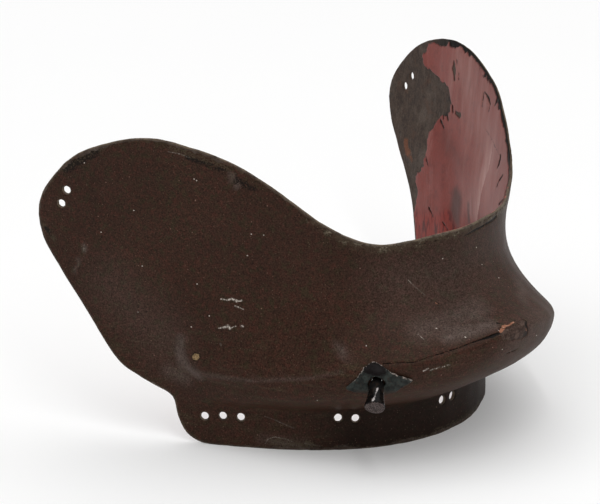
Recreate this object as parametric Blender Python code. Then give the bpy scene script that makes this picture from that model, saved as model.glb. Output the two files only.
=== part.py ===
"""Half mask of a samurai's armour: one iron plate for the chin and cheeks, and a cord peg on a washer.

The plate is a single sheet. Three curves seen from above give its shape: the neck flange, the jaw
ridge and the lip. A convex underside joins the flange to the ridge, and a concave cheek joins the
ridge to the lip. A point on the sheet is named by its arc, the length along the lip curve from the
middle of the face (positive towards the wearer's left), and by its height.
X runs across the face, -Y is forward and Z is up. The foot of the flange stands on z = 0.
"""
from collections import namedtuple
from math import pi, radians

import bmesh
import bpy
import numpy as np
from mathutils import Vector

MM = 0.001

# Sheet metal
PLATE_THICKNESS = 1.3 * MM
WASHER_THICKNESS = 0.8 * MM
GAP = 0.3 * MM

# Plan curves. reach: how far forward the curve starts. turn: the heading that it turns to.
# soften: the length over which it turns. stretch: its own length for each unit of lip arc.
PlanCurve = namedtuple("PlanCurve", "reach turn soften stretch")
FLANGE = PlanCurve(reach=38.9 * MM, turn=radians(67.9), soften=50.4 * MM, stretch=0.873)
RIDGE = PlanCurve(reach=65.4 * MM, turn=radians(78.1), soften=55.3 * MM, stretch=1.007)
LIP = PlanCurve(reach=44.9 * MM, turn=radians(70.7), soften=55.0 * MM, stretch=1.0)
WING_CURL = radians(2.6) / 0.1 ** 2
ARC_LIMIT = 0.16
ARC_SAMPLES = 641
CENTRE_X = -0.71 * MM
CENTRE_Y = 6.25 * MM

# Heights
FLANGE_HEIGHT = 12.8 * MM
RIDGE_FRONT_HEIGHT = 41.8 * MM
RIDGE_REAR_HEIGHT = 19.2 * MM
RIDGE_REAR_ARC = 95.9 * MM
RIDGE_PEAK_ROUNDING = 9.0 * MM
LIP_HEIGHT = 57.4 * MM

# Profile
UNDER_POWER = 2.3
CHEEK_POWER = 3.1
LIP_LEAN = 0.09
RIDGE_FADE = (76.7 * MM, 97.8 * MM)
HAMMER_ROUNDING = 1.1 * MM

# The left wing is bent a little further out than the right one, above the lip
LEFT_SPREAD = 1.15 * MM
SPREAD_ARCS = (28 * MM, 42 * MM)
SPREAD_HEIGHTS = (50 * MM, 66 * MM)

# Outline of each side, in millimetres: each row is one line across the sheet, from its lower edge
# to its upper edge. The last 9 rows of a wing follow its rear edge.
Station = namedtuple("Station", "low_arc low_z top_arc top_z")
FRONT = (
    Station(0.0, 0.0, 0.0, 64.9),
    Station(9.5, 0.0, 10.0, 64.8),
    Station(19.0, 0.0, 20.0, 64.3),
    Station(26.0, 0.0, 27.0, 63.7),
    Station(33.0, 0.0, 34.5, 65.2),
)
RIGHT_WING = (
    Station(42.0, 0.0, 44.5, 70.6),
    Station(51.0, 0.0, 54.4, 78.0),
    Station(60.0, 0.0, 64.2, 84.8),
    Station(70.0, 0.0, 74.2, 89.3),
    Station(80.0, 0.0, 84.6, 92.0),
    Station(86.8, 0.3, 91.6, 92.7),
    Station(91.8, 2.8, 97.0, 92.3),
    Station(94.8, 7.8, 101.0, 91.4),
    Station(96.6, 13.5, 105.0, 90.2),
    Station(101.9, 16.2, 110.3, 88.2),
    Station(107.6, 18.8, 114.5, 86.2),
    Station(113.0, 22.3, 118.2, 83.8),
    Station(117.5, 29.5, 122.3, 80.2),
    Station(121.4, 38.0, 126.0, 75.7),
    Station(125.6, 46.4, 128.8, 71.6),
    Station(129.2, 54.8, 130.3, 67.7),
    Station(130.6, 61.0, 130.8, 64.4),
)
LEFT_WING = (
    Station(42.0, 0.0, 44.5, 70.6),
    Station(51.0, 0.0, 54.4, 78.0),
    Station(60.0, 0.0, 64.2, 84.6),
    Station(70.0, 0.0, 74.2, 88.2),
    Station(80.0, 0.0, 84.6, 90.6),
    Station(86.8, 0.3, 91.6, 91.5),
    Station(91.8, 2.8, 97.0, 91.3),
    Station(94.8, 7.8, 101.0, 90.6),
    Station(96.6, 13.5, 105.6, 89.6),
    Station(102.5, 15.8, 110.6, 87.9),
    Station(109.0, 18.0, 114.9, 85.9),
    Station(115.2, 21.5, 118.9, 83.5),
    Station(116.6, 29.5, 123.1, 80.0),
    Station(118.2, 38.0, 127.2, 75.6),
    Station(121.5, 46.4, 130.0, 71.6),
    Station(126.4, 54.8, 131.3, 67.7),
    Station(130.1, 61.0, 131.4, 64.4),
)
COLUMNS_PER_STATION = 2
FLANGE_ROWS = 2
UNDER_ROWS = 5
CHEEK_ROWS = 6
WING_ROWS = 4
ROWS_LET_GO = (78 * MM, 96 * MM)

# Lacing holes, in millimetres: those of the neck flange, on both sides, and those of each wing
Hole = namedtuple("Hole", "arc height")
FLANGE_HOLES = (
    Hole(2.6, 10.3),
    Hole(35.2, 9.6),
    Hole(41.0, 10.0),
    Hole(73.2, 9.3),
    Hole(79.3, 9.2),
    Hole(85.5, 8.6),
)
RIGHT_WING_HOLES = (Hole(120.8, 73.2), Hole(122.8, 68.8))
LEFT_WING_HOLES = (Hole(119.7, 74.0), Hole(123.1, 69.9))
HOLE_DIAMETER = 2.2 * MM
HOLE_SIDES = 10
HOLE_DEPTH = 6.0 * MM

# Cord peg of the wearer's right side. The left peg is lost, and its hole is open.
PEG_ARC = 43.8 * MM
PEG_HEIGHT = 28.0 * MM
PEG_DROOP = radians(36)
SHANK_RADIUS = 1.1 * MM
PEG_HOLE_DIAMETER = 2 * (SHANK_RADIUS + GAP)
PEG_SIDES = 16

# Peg profile in millimetres, from the shank's end, riveted flush inside the plate, to the domed tip.
# along: distance outwards from the plate's face.
Ring = namedtuple("Ring", "along radius")
PEG_PROFILE = (
    Ring(-2.0, 0.7),
    Ring(-1.7, 1.1),
    Ring(3.0, 1.1),
    Ring(3.1, 2.0),
    Ring(3.5, 2.25),
    Ring(5.2, 2.35),
    Ring(6.8, 2.6),
    Ring(8.2, 2.9),
    Ring(8.7, 2.75),
    Ring(9.0, 2.1),
)

# Washer outline in millimetres: how far it reaches to the rear and to the front
# at each height above the peg's root. It leans along the jaw ridge.
Reach = namedtuple("Reach", "rise rear front")
WASHER_OUTLINE = (
    Reach(-5.2, 1.6, 4.6),
    Reach(-4.2, 3.4, 6.4),
    Reach(-3.2, 5.4, 7.6),
    Reach(-2.1, 7.2, 9.1),
    Reach(-0.9, 8.7, 10.2),
    Reach(0.5, 7.5, 7.9),
    Reach(1.8, 6.0, 5.5),
    Reach(3.2, 3.9, 3.5),
    Reach(4.2, 1.9, 2.4),
    Reach(5.0, -0.2, 1.6),
)
WASHER_LEAN = 0.16
WASHER_COLUMNS = 12
HOOD_HEIGHT = 1.0 * MM
HOOD_RISE = 1.2 * MM
HOOD_RADIUS = 3.4 * MM


def smoothstep(low, high, value):
    share = np.clip((value - low) / (high - low), 0, 1)
    return share * share * (3 - 2 * share)


def heading(arc, curve):
    """Angle that a plan curve has turned through at this length from its middle."""
    length = np.abs(arc)
    return curve.turn * np.tanh(length / curve.soften) + WING_CURL * length ** 2


def plan_point(arc, curve):
    """X and Y of a plan curve, walked along its heading from the middle of the face."""
    grid = np.linspace(0, ARC_LIMIT, ARC_SAMPLES)
    angle = heading(grid, curve)
    middle = (angle[1:] + angle[:-1]) / 2
    step = grid[1]
    across = np.concatenate([[0], np.cumsum(np.cos(middle) * step)])
    back = np.concatenate([[0], np.cumsum(np.sin(middle) * step)])
    length = np.abs(arc) * curve.stretch
    x = np.sign(arc) * np.interp(length, grid, across) + CENTRE_X
    y = np.interp(length, grid, back) - curve.reach + CENTRE_Y
    return np.stack([x, y], axis=-1)


def ridge_height(arc):
    """The ridge falls evenly from the chin to the rear, and its peak in front is rounded."""
    share = np.clip(np.hypot(arc, RIDGE_PEAK_ROUNDING) / RIDGE_REAR_ARC, 0, 1)
    return RIDGE_FRONT_HEIGHT + (RIDGE_REAR_HEIGHT - RIDGE_FRONT_HEIGHT) * share


def sharp_surface(arc, height):
    """Outer face of the sheet before its bends are rounded. The ridge fades out towards the wings."""
    flange = plan_point(arc, FLANGE)
    ridge = plan_point(arc, RIDGE)
    lip = plan_point(arc, LIP)
    ridge_z = ridge_height(arc)
    fade = smoothstep(*RIDGE_FADE, np.abs(arc))[..., None]
    share = ((ridge_z - FLANGE_HEIGHT) / (LIP_HEIGHT - FLANGE_HEIGHT))[..., None]
    straight = flange + (lip - flange) * share
    ridge = ridge + (straight - ridge) * fade

    below = np.clip((ridge_z - height) / (ridge_z - FLANGE_HEIGHT), 0, 1)[..., None]
    above = np.clip((LIP_HEIGHT - height) / (LIP_HEIGHT - ridge_z), 0, 1)[..., None]
    under = ridge + (flange - ridge) * below ** (UNDER_POWER + (1 - UNDER_POWER) * fade)
    cheek = lip + (ridge - lip) * above ** (CHEEK_POWER + (1 - CHEEK_POWER) * fade)
    plan = np.where((height < ridge_z)[..., None], under, cheek)

    angle = heading(arc, LIP)
    outward = np.stack([np.sign(arc) * np.sin(angle), -np.cos(angle)], axis=-1)
    lean = np.clip(height - LIP_HEIGHT, 0, None) * LIP_LEAN
    spread = LEFT_SPREAD * smoothstep(*SPREAD_ARCS, arc) * smoothstep(*SPREAD_HEIGHTS, height)
    plan = plan + outward * (lean + spread)[..., None]
    return np.concatenate([plan, height[..., None]], axis=-1)


def surface(arc, height):
    """Outer face of the sheet, with its bends rounded as a hammer leaves them."""
    arc, height = np.broadcast_arrays(np.asarray(arc, float), np.asarray(height, float))
    rounded = sharp_surface(arc, height) * 2
    for step in (-HAMMER_ROUNDING, HAMMER_ROUNDING):
        rounded = rounded + sharp_surface(arc, height + step)
    return rounded / 4


def surface_normal(arc, height):
    step = 0.2 * MM
    along = surface(arc + step, height) - surface(arc - step, height)
    up = surface(arc, height + step) - surface(arc, height - step)
    normal = np.cross(along, up)
    return normal / np.linalg.norm(normal, axis=-1, keepdims=True)


def curve_through(rows, steps):
    """Catmull-Rom curve through the rows of a table, with a number of steps between rows."""
    rows = np.asarray(rows, float)
    rows = np.vstack([2 * rows[0] - rows[1], rows, 2 * rows[-1] - rows[-2]])
    points = []
    for first, here, there, last in zip(rows, rows[1:], rows[2:], rows[3:]):
        for t in np.arange(steps) / steps:
            points.append(here + 0.5 * t * (there - first
                          + t * (2 * first - 5 * here + 4 * there - last
                                 + t * (3 * here - first - 3 * there + last))))
    points.append(rows[-2])
    return np.array(points)


def row_heights(low, top, ridge_z):
    """Heights of the rows of one column in front: they fall on the flange's bend and on the ridge."""
    flange = np.linspace(low, FLANGE_HEIGHT, FLANGE_ROWS + 1)[:-1]
    under = FLANGE_HEIGHT + (ridge_z - FLANGE_HEIGHT) * np.linspace(0, 1, UNDER_ROWS + 1)[:-1]
    cheek = ridge_z + (LIP_HEIGHT - ridge_z) * np.linspace(0, 1, CHEEK_ROWS + 1)[:-1] ** 1.6
    wing = np.linspace(LIP_HEIGHT, top, WING_ROWS + 1)
    return np.concatenate([flange, under, cheek, wing])


def side_grid(wing):
    """Arc and height of each grid point from the middle of the face to a wing's rear edge."""
    half = curve_through(FRONT + wing, COLUMNS_PER_STATION) * MM
    rows = FLANGE_ROWS + UNDER_ROWS + CHEEK_ROWS + WING_ROWS + 1
    arcs, heights = [], []
    for low_arc, low_z, top_arc, top_z in half:
        low_z = max(low_z, 0)
        front = row_heights(low_z, top_z, ridge_height(low_arc))
        even = np.linspace(low_z, top_z, rows)
        let_go = smoothstep(*ROWS_LET_GO, low_arc)
        height = front + (even - front) * let_go
        share = (height - low_z) / (top_z - low_z)
        arcs.append(low_arc + (top_arc - low_arc) * share)
        heights.append(height)
    return np.array(arcs), np.array(heights)


def plate_grid():
    """Arc and height of each grid point of the sheet: columns run across it, rows up it."""
    right_arcs, right_heights = side_grid(RIGHT_WING)
    left_arcs, left_heights = side_grid(LEFT_WING)
    arcs = np.concatenate([-right_arcs[:0:-1], left_arcs])
    heights = np.concatenate([right_heights[:0:-1], left_heights])
    return arcs, heights


def washer_grid(arc):
    """Arc and height of each grid point of the washer of the right side."""
    rise, rear, front = curve_through(WASHER_OUTLINE, 1).T * MM
    share = np.linspace(0, 1, WASHER_COLUMNS + 1)[:, None]
    across = (rear + front) * share - rear
    heights = PEG_HEIGHT + rise + WASHER_LEAN * across
    return arc + across, heights


def remove_scene_objects():
    for obj in list(bpy.data.objects):
        bpy.data.objects.remove(obj, do_unlink=True)


def material(name, colour, roughness, metallic):
    mat = bpy.data.materials.new(name)
    mat.use_nodes = True
    shader = mat.node_tree.nodes["Principled BSDF"]
    shader.inputs["Base Color"].default_value = (*colour, 1)
    shader.inputs["Roughness"].default_value = roughness
    shader.inputs["Metallic"].default_value = metallic
    return mat


def add_object(name, mesh, mat=None):
    obj = bpy.data.objects.new(name, mesh)
    bpy.context.collection.objects.link(obj)
    if mat:
        mesh.materials.append(mat)
    return obj


def sheet(name, points, thickness, offset, mat):
    """A grid of points made into a closed sheet. offset 1 thickens it outwards, -1 inwards."""
    columns, rows = points.shape[:2]
    faces = [(i * rows + j, (i + 1) * rows + j, (i + 1) * rows + j + 1, i * rows + j + 1)
             for i in range(columns - 1) for j in range(rows - 1)]
    mesh = bpy.data.meshes.new(name)
    mesh.from_pydata(points.reshape(-1, 3).tolist(), [], faces)
    mesh.shade_smooth()
    mesh.set_sharp_from_angle(angle=radians(40))
    obj = add_object(name, mesh, mat)
    solid = obj.modifiers.new("Thickness", "SOLIDIFY")
    solid.thickness = thickness
    solid.offset = offset
    solid.use_even_offset = True
    return obj


def turned(name, profile, sides, mat):
    """A solid turned about its own Z axis, closed at both ends."""
    bm = bmesh.new()
    rings = []
    for along, radius in profile:
        angles = np.arange(sides) * 2 * pi / sides
        rings.append([bm.verts.new((radius * np.cos(a), radius * np.sin(a), along)) for a in angles])
    for lower, upper in zip(rings, rings[1:]):
        for i in range(sides):
            j = (i + 1) % sides
            bm.faces.new((lower[i], lower[j], upper[j], upper[i]))
    bm.faces.new(rings[0][::-1])
    bm.faces.new(rings[-1])
    mesh = bpy.data.meshes.new(name)
    bm.to_mesh(mesh)
    bm.free()
    mesh.shade_smooth()
    mesh.set_sharp_from_angle(angle=radians(40))
    return add_object(name, mesh, mat)


def point_along(obj, place, direction):
    obj.location = Vector(place)
    obj.rotation_euler = Vector(direction).to_track_quat("Z", "Y").to_euler()


def cutter(name, place, direction, diameter):
    """A hidden round bar that cuts one hole."""
    bar = [(-HOLE_DEPTH / 2, diameter / 2), (HOLE_DEPTH / 2, diameter / 2)]
    obj = turned(name, bar, HOLE_SIDES, None)
    point_along(obj, place, direction)
    obj.hide_render = True
    obj.display_type = "WIRE"
    return obj


def cut(obj, tool):
    boolean = obj.modifiers.new(tool.name, "BOOLEAN")
    boolean.operation = "DIFFERENCE"
    boolean.solver = "EXACT"
    boolean.object = tool


def peg_axis(arc):
    """The way a peg points: straight out from the jaw, and down."""
    angle = heading(arc, RIDGE)
    outward = Vector((np.sign(arc) * np.sin(angle), -np.cos(angle), 0))
    return outward * np.cos(PEG_DROOP) - Vector((0, 0, np.sin(PEG_DROOP)))


def make_plate():
    lacquer = material("brown lacquer", (0.042, 0.026, 0.019), 0.45, 0.1)
    return sheet("mask_plate", surface(*plate_grid()), PLATE_THICKNESS, -1, lacquer)


def cut_lacing_holes(plate):
    sides = (("right", -1, RIGHT_WING_HOLES), ("left", 1, LEFT_WING_HOLES))
    for word, side, wing_holes in sides:
        for number, hole in enumerate(FLANGE_HOLES + wing_holes):
            arc, height = side * hole.arc * MM, hole.height * MM
            name = f"lacing_hole_{word}_{number}"
            tool = cutter(name, surface(arc, height), surface_normal(arc, height), HOLE_DIAMETER)
            cut(plate, tool)


def make_washer(name, arc):
    arcs, heights = washer_grid(arc)
    across = (arcs - arc) / HOOD_RADIUS
    up = (heights - PEG_HEIGHT - HOOD_RISE) / HOOD_RADIUS
    lift = GAP + HOOD_HEIGHT * np.exp(-across ** 2 - up ** 2)
    points = surface(arcs, heights) + surface_normal(arcs, heights) * lift[..., None]
    return sheet(name, points, WASHER_THICKNESS, 1, material(name, (0.035, 0.04, 0.034), 0.5, 0.6))


def make_peg(name, arc):
    profile = [(ring.along * MM, ring.radius * MM) for ring in PEG_PROFILE]
    peg = turned(name, profile, PEG_SIDES, material(name, (0.008, 0.008, 0.008), 0.2, 0.0))
    point_along(peg, surface(arc, PEG_HEIGHT), peg_axis(arc))
    return peg


def peg_hole(name, arc):
    return cutter(name, surface(arc, PEG_HEIGHT), peg_axis(arc), PEG_HOLE_DIAMETER)


def make_peg_set(plate):
    right_hole = peg_hole("peg_hole_right", -PEG_ARC)
    left_hole = peg_hole("peg_hole_left", PEG_ARC)
    cut(plate, right_hole)
    cut(plate, left_hole)
    washer = make_washer("peg_washer_right", -PEG_ARC)
    cut(washer, right_hole)
    peg = make_peg("cord_peg_right", -PEG_ARC)
    return [washer, peg]


def main():
    remove_scene_objects()
    plate = make_plate()
    cut_lacing_holes(plate)
    pieces = make_peg_set(plate)
    root = bpy.data.objects.new("half_mask", None)
    bpy.context.collection.objects.link(root)
    for piece in [plate] + pieces:
        piece.parent = root


main()
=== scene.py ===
"""Looks of the samurai half mask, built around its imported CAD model.

The iron plate, the brown lacquer outside and the red lacquer inside are three closed pieces cut from
one sheet. A place on the sheet is named by its arc, the length along the lip curve from the middle of
the face (positive towards the wearer's left), and by its height, both in millimetres.
X runs across the face, -Y is forward and Z is up.
"""
from collections import namedtuple
from math import cos, pi, radians, sin

import bmesh
import bpy
import numpy as np
from mathutils import Matrix, Vector, noise


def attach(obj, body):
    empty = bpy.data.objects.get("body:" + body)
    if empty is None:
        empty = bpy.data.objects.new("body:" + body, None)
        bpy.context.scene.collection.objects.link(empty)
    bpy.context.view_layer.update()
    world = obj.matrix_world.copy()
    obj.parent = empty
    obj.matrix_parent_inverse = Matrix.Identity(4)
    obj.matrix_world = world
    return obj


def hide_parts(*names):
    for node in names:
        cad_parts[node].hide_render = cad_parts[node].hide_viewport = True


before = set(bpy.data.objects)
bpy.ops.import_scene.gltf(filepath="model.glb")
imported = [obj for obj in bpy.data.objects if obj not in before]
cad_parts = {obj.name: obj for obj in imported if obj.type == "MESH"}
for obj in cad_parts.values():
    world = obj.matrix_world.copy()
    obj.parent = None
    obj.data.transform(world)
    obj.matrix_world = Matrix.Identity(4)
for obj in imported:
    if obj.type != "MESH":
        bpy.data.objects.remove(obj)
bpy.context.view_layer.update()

MM = 0.001

# Sheet metal and lacquer
PLATE_THICKNESS = 1.3
LACQUER_THICKNESS = 0.22
LACQUER_SUNK = 0.05

# Plan curves, as in the CAD model
PlanCurve = namedtuple("PlanCurve", "reach turn soften stretch")
FLANGE = PlanCurve(reach=38.9, turn=radians(67.9), soften=50.4, stretch=0.873)
RIDGE = PlanCurve(reach=65.4, turn=radians(78.1), soften=55.3, stretch=1.007)
LIP = PlanCurve(reach=44.9, turn=radians(70.7), soften=55.0, stretch=1.0)
WING_CURL = radians(2.6) / 100 ** 2
ARC_LIMIT = 160
CENTRE_X = -0.71
CENTRE_Y = 6.25

# Heights and profile, as in the CAD model
FLANGE_HEIGHT = 12.8
RIDGE_FRONT_HEIGHT = 41.8
RIDGE_REAR_HEIGHT = 19.2
RIDGE_REAR_ARC = 95.9
RIDGE_PEAK_ROUNDING = 9.0
LIP_HEIGHT = 57.4
UNDER_POWER = 2.3
CHEEK_POWER = 3.1
LIP_LEAN = 0.09
RIDGE_FADE = (76.7, 97.8)

# The left wing is bent out a little further than the right one
LEFT_SPREAD = 1.15
SPREAD_ARCS = (28, 42)
SPREAD_HEIGHTS = (50, 66)

# Weights that round the bends of the sheet: shift in height and share
ROUNDING = ((-1.5, 0.06), (-1.0, 0.13), (-0.5, 0.2), (0, 0.22), (0.5, 0.2), (1.0, 0.13), (1.5, 0.06))

# Outline, as in the CAD model: lower edge and upper edge of each line across the sheet
Station = namedtuple("Station", "low_arc low_z top_arc top_z")
FRONT = (
    Station(0.0, 0.0, 0.0, 64.9),
    Station(9.5, 0.0, 10.0, 64.8),
    Station(19.0, 0.0, 20.0, 64.3),
    Station(26.0, 0.0, 27.0, 63.7),
    Station(33.0, 0.0, 34.5, 65.2),
)
RIGHT_WING = (
    Station(42.0, 0.0, 44.5, 70.6),
    Station(51.0, 0.0, 54.4, 78.0),
    Station(60.0, 0.0, 64.2, 84.8),
    Station(70.0, 0.0, 74.2, 89.3),
    Station(80.0, 0.0, 84.6, 92.0),
    Station(86.8, 0.3, 91.6, 92.7),
    Station(91.8, 2.8, 97.0, 92.3),
    Station(94.8, 7.8, 101.0, 91.4),
    Station(96.6, 13.5, 105.0, 90.2),
    Station(101.9, 16.2, 110.3, 88.2),
    Station(107.6, 18.8, 114.5, 86.2),
    Station(113.0, 22.3, 118.2, 83.8),
    Station(117.5, 29.5, 122.3, 80.2),
    Station(121.4, 38.0, 126.0, 75.7),
    Station(125.6, 46.4, 128.8, 71.6),
    Station(129.2, 54.8, 130.3, 67.7),
    Station(130.6, 61.0, 130.8, 64.4),
)
LEFT_WING = (
    Station(42.0, 0.0, 44.5, 70.6),
    Station(51.0, 0.0, 54.4, 78.0),
    Station(60.0, 0.0, 64.2, 84.6),
    Station(70.0, 0.0, 74.2, 88.2),
    Station(80.0, 0.0, 84.6, 90.6),
    Station(86.8, 0.3, 91.6, 91.5),
    Station(91.8, 2.8, 97.0, 91.3),
    Station(94.8, 7.8, 101.0, 90.6),
    Station(96.6, 13.5, 105.6, 89.6),
    Station(102.5, 15.8, 110.6, 87.9),
    Station(109.0, 18.0, 114.9, 85.9),
    Station(115.2, 21.5, 118.9, 83.5),
    Station(116.6, 29.5, 123.1, 80.0),
    Station(118.2, 38.0, 127.2, 75.6),
    Station(121.5, 46.4, 130.0, 71.6),
    Station(126.4, 54.8, 131.3, 67.7),
    Station(130.1, 61.0, 131.4, 64.4),
)

# Lacing holes of each side
Hole = namedtuple("Hole", "arc height")
FLANGE_HOLES = (
    Hole(2.6, 10.3),
    Hole(35.2, 9.6),
    Hole(41.0, 10.0),
    Hole(73.2, 9.3),
    Hole(79.3, 9.2),
    Hole(85.5, 8.6),
)
RIGHT_WING_HOLES = (Hole(120.8, 73.2), Hole(122.8, 68.8))
LEFT_WING_HOLES = (Hole(119.7, 74.0), Hole(123.1, 69.9))
HOLE_RADIUS = 1.1

# Cord pegs
PEG_ARC = 43.8
PEG_HEIGHT = 28.0
PEG_DROOP = radians(36)
PEG_HOLE_RADIUS = 1.4

# Rear end of the jaw ridge, where it turns up: swell is how far the cheek stands off the wing there
Turn = namedtuple("Turn", "arc height swell")
JAW_TURN = (
    Turn(56.6, 28.8, 0.0),
    Turn(66.0, 26.8, 0.3),
    Turn(77.0, 24.8, 0.9),
    Turn(84.0, 23.7, 1.4),
    Turn(86.7, 23.3, 1.6),
    Turn(88.5, 23.6, 1.7),
    Turn(89.6, 25.2, 1.7),
    Turn(90.0, 27.7, 1.6),
    Turn(89.9, 30.4, 1.2),
    Turn(88.7, 33.3, 0.6),
    Turn(87.0, 37.0, 0.0),
)
TURN_SLOPE = 3.2
TURN_REACH = 9.0

# Hammer marks, the lip and the rims
HAMMER_DEPTH = 0.22
HAMMER_SIZE = 13.0
LIP_TURN_OUT = 0.45
LIP_TURN_WIDTH = 1.0
RIM_ROUNDING = 0.4
HOLE_ROUNDING = 0.4

# A straight slit in lacquer, with a half width at each end
Slit = namedtuple("Slit", "arc height half to_arc to_height to_half")

# A mark in another colour: from one place to another, half width and strength
Stroke = namedtuple("Stroke", "arc height to_arc to_height half strength")

# A bend of a long crack
Crack = namedtuple("Crack", "arc height half")
CHIN_CRACK = (
    Crack(-40.8, 32.9, 0.12),
    Crack(-38.0, 33.3, 0.12),
    Crack(-35.3, 33.5, 0.14),
    Crack(-33.2, 33.7, 0.12),
    Crack(-31.1, 34.3, 0.15),
    Crack(-28.5, 35.0, 0.13),
    Crack(-24.8, 35.9, 0.16),
    Crack(-20.5, 36.8, 0.14),
    Crack(-15.8, 37.8, 0.18),
    Crack(-11.9, 38.4, 0.30),
    Crack(-9.4, 38.7, 0.46),
    Crack(-7.2, 39.0, 0.28),
)
CRACK_LIFT = 0.3
CRACK_LIFT_REACH = 1.8

# The patch on the chin where the brown lacquer has burst off
CRATER = (
    (-6.1, 39.9),
    (-7.6, 38.7),
    (-6.0, 36.9),
    (-1.7, 35.4),
    (1.8, 34.9),
    (3.7, 36.5),
    (3.4, 38.8),
    (4.4, 39.8),
)
BROWN_SLITS = (
    Slit(-4.9, 40.7, 0.34, -3.9, 40.4, 0.10),
    Slit(4.9, 39.6, 0.08, 3.1, 38.9, 0.20),
    Slit(3.1, 38.9, 0.20, 3.7, 37.1, 0.30),
    Slit(3.7, 37.1, 0.30, 3.7, 35.7, 0.24),
    Slit(3.7, 35.7, 0.24, 1.1, 35.2, 0.10),
    Slit(5.3, 39.3, 0.03, 9.6, 38.7, 0.12),
    Slit(9.6, 38.7, 0.12, 13.0, 38.2, 0.02),
    Slit(-4.7, 41.9, 0.14, -2.8, 41.6, 0.04),
    Slit(-3.6, 31.7, 0.22, -2.4, 31.8, 0.16),
    Slit(-1.6, 31.8, 0.20, 0.9, 32.0, 0.10),
    Slit(-14.6, 46.1, 0.12, -14.2, 45.1, 0.16),
    Slit(-14.2, 45.1, 0.16, -15.4, 44.3, 0.12),
    Slit(-1.6, 62.0, 0.16, 3.3, 62.3, 0.50),
    Slit(3.3, 62.3, 0.50, 8.2, 62.3, 0.35),
    Slit(9.2, 62.4, 0.42, 16.2, 62.5, 0.52),
    Slit(-18.2, 62.7, 0.05, -15.4, 62.8, 0.16),
    Slit(-12.4, 62.9, 0.14, -9.0, 62.7, 0.05),
)

# The slits that look black: the bare iron far down in them is painted near black, a painted shade
DARK_SLITS = tuple(Slit(*here, *there) for here, there in zip(CHIN_CRACK, CHIN_CRACK[1:])) + BROWN_SLITS

# Edge of the red lacquer on each wing, rear of which the iron is bare: height and arc
RED_EDGE_LEFT = (
    (-2.0, 99.0),
    (15.0, 108.0),
    (22.0, 116.0),
    (30.0, 118.0),
    (34.9, 114.5),
    (39.9, 111.8),
    (42.6, 113.2),
    (45.9, 112.4),
    (49.4, 107.2),
    (52.6, 106.6),
    (57.0, 105.5),
    (60.9, 104.7),
    (65.0, 101.7),
    (69.6, 95.0),
    (71.8, 94.9),
    (76.8, 98.0),
    (78.0, 107.3),
    (79.8, 112.2),
    (81.8, 114.2),
    (85.5, 112.0),
    (95.0, 109.0),
)
RED_EDGE_RIGHT = (
    (-2.0, 90.0),
    (8.0, 93.0),
    (20.0, 112.0),
    (30.0, 119.0),
    (42.0, 116.0),
    (50.0, 119.0),
    (57.0, 112.0),
    (63.0, 108.5),
    (69.0, 110.0),
    (74.0, 105.0),
    (79.0, 98.5),
    (84.0, 97.0),
    (95.0, 99.0),
)
RED_SLITS = (
    Slit(94.9, 85.4, 0.10, 94.4, 83.0, 1.05),
    Slit(94.4, 83.0, 1.05, 93.4, 79.9, 0.25),
    Slit(93.2, 86.0, 0.22, 92.8, 85.0, 0.10),
    Slit(91.0, 82.6, 0.10, 90.8, 80.9, 0.16),
    Slit(73.6, 81.6, 0.14, 73.6, 77.4, 0.05),
    Slit(73.0, 81.9, 0.20, 69.6, 80.9, 0.50),
    Slit(69.6, 80.9, 0.50, 68.2, 79.6, 0.20),
    Slit(68.2, 79.6, 0.14, 68.8, 77.4, 0.06),
    Slit(90.9, 70.3, 0.50, 88.6, 70.3, 0.85),
    Slit(93.2, 71.9, 0.30, 92.9, 69.9, 0.40),
    Slit(95.3, 73.4, 0.30, 94.2, 72.2, 0.14),
    Slit(96.4, 68.1, 0.50, 95.4, 66.6, 0.22),
    Slit(100.0, 65.1, 0.45, 97.4, 63.4, 0.16),
    Slit(98.9, 67.2, 0.28, 98.3, 66.0, 0.12),
    Slit(54.2, 68.2, 0.42, 54.9, 65.6, 0.50),
    Slit(54.9, 65.6, 0.50, 55.6, 64.0, 0.16),
    Slit(49.3, 64.1, 0.10, 51.6, 61.6, 0.30),
    Slit(51.6, 61.6, 0.24, 52.7, 59.0, 0.20),
    Slit(105.7, 52.1, 0.26, 104.3, 50.3, 0.10),
    Slit(104.4, 37.1, 0.30, 101.8, 35.2, 0.12),
    Slit(95.2, 35.3, 0.20, 92.4, 33.8, 0.08),
    Slit(64.8, 80.2, 0.12, 62.6, 83.2, 0.70),
    Slit(108.9, 89.4, 1.60, 107.2, 88.9, 1.30),
    Slit(107.2, 88.9, 1.30, 103.6, 89.2, 1.45),
    Slit(103.6, 89.2, 1.45, 100.9, 89.5, 1.00),
    Slit(97.8, 89.9, 0.90, 95.2, 90.6, 1.10),
    Slit(42.9, 58.4, 0.30, 47.6, 55.3, 0.18),
    Slit(-62.6, 71.0, 0.30, -61.2, 71.4, 0.50),
    Slit(-84.0, 56.6, 0.20, -84.2, 53.6, 0.70),
    Slit(-78.0, 84.0, 0.40, -76.0, 84.3, 0.70),
    Slit(-102.0, 72.0, 0.60, -100.2, 72.6, 0.90),
    Slit(-96.0, 46.0, 0.20, -96.2, 44.0, 0.60),
    Slit(-12.0, 52.0, 0.50, -11.2, 52.2, 0.20),
    Slit(21.4, 30.0, 0.60, 22.8, 30.2, 0.30),
)

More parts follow.
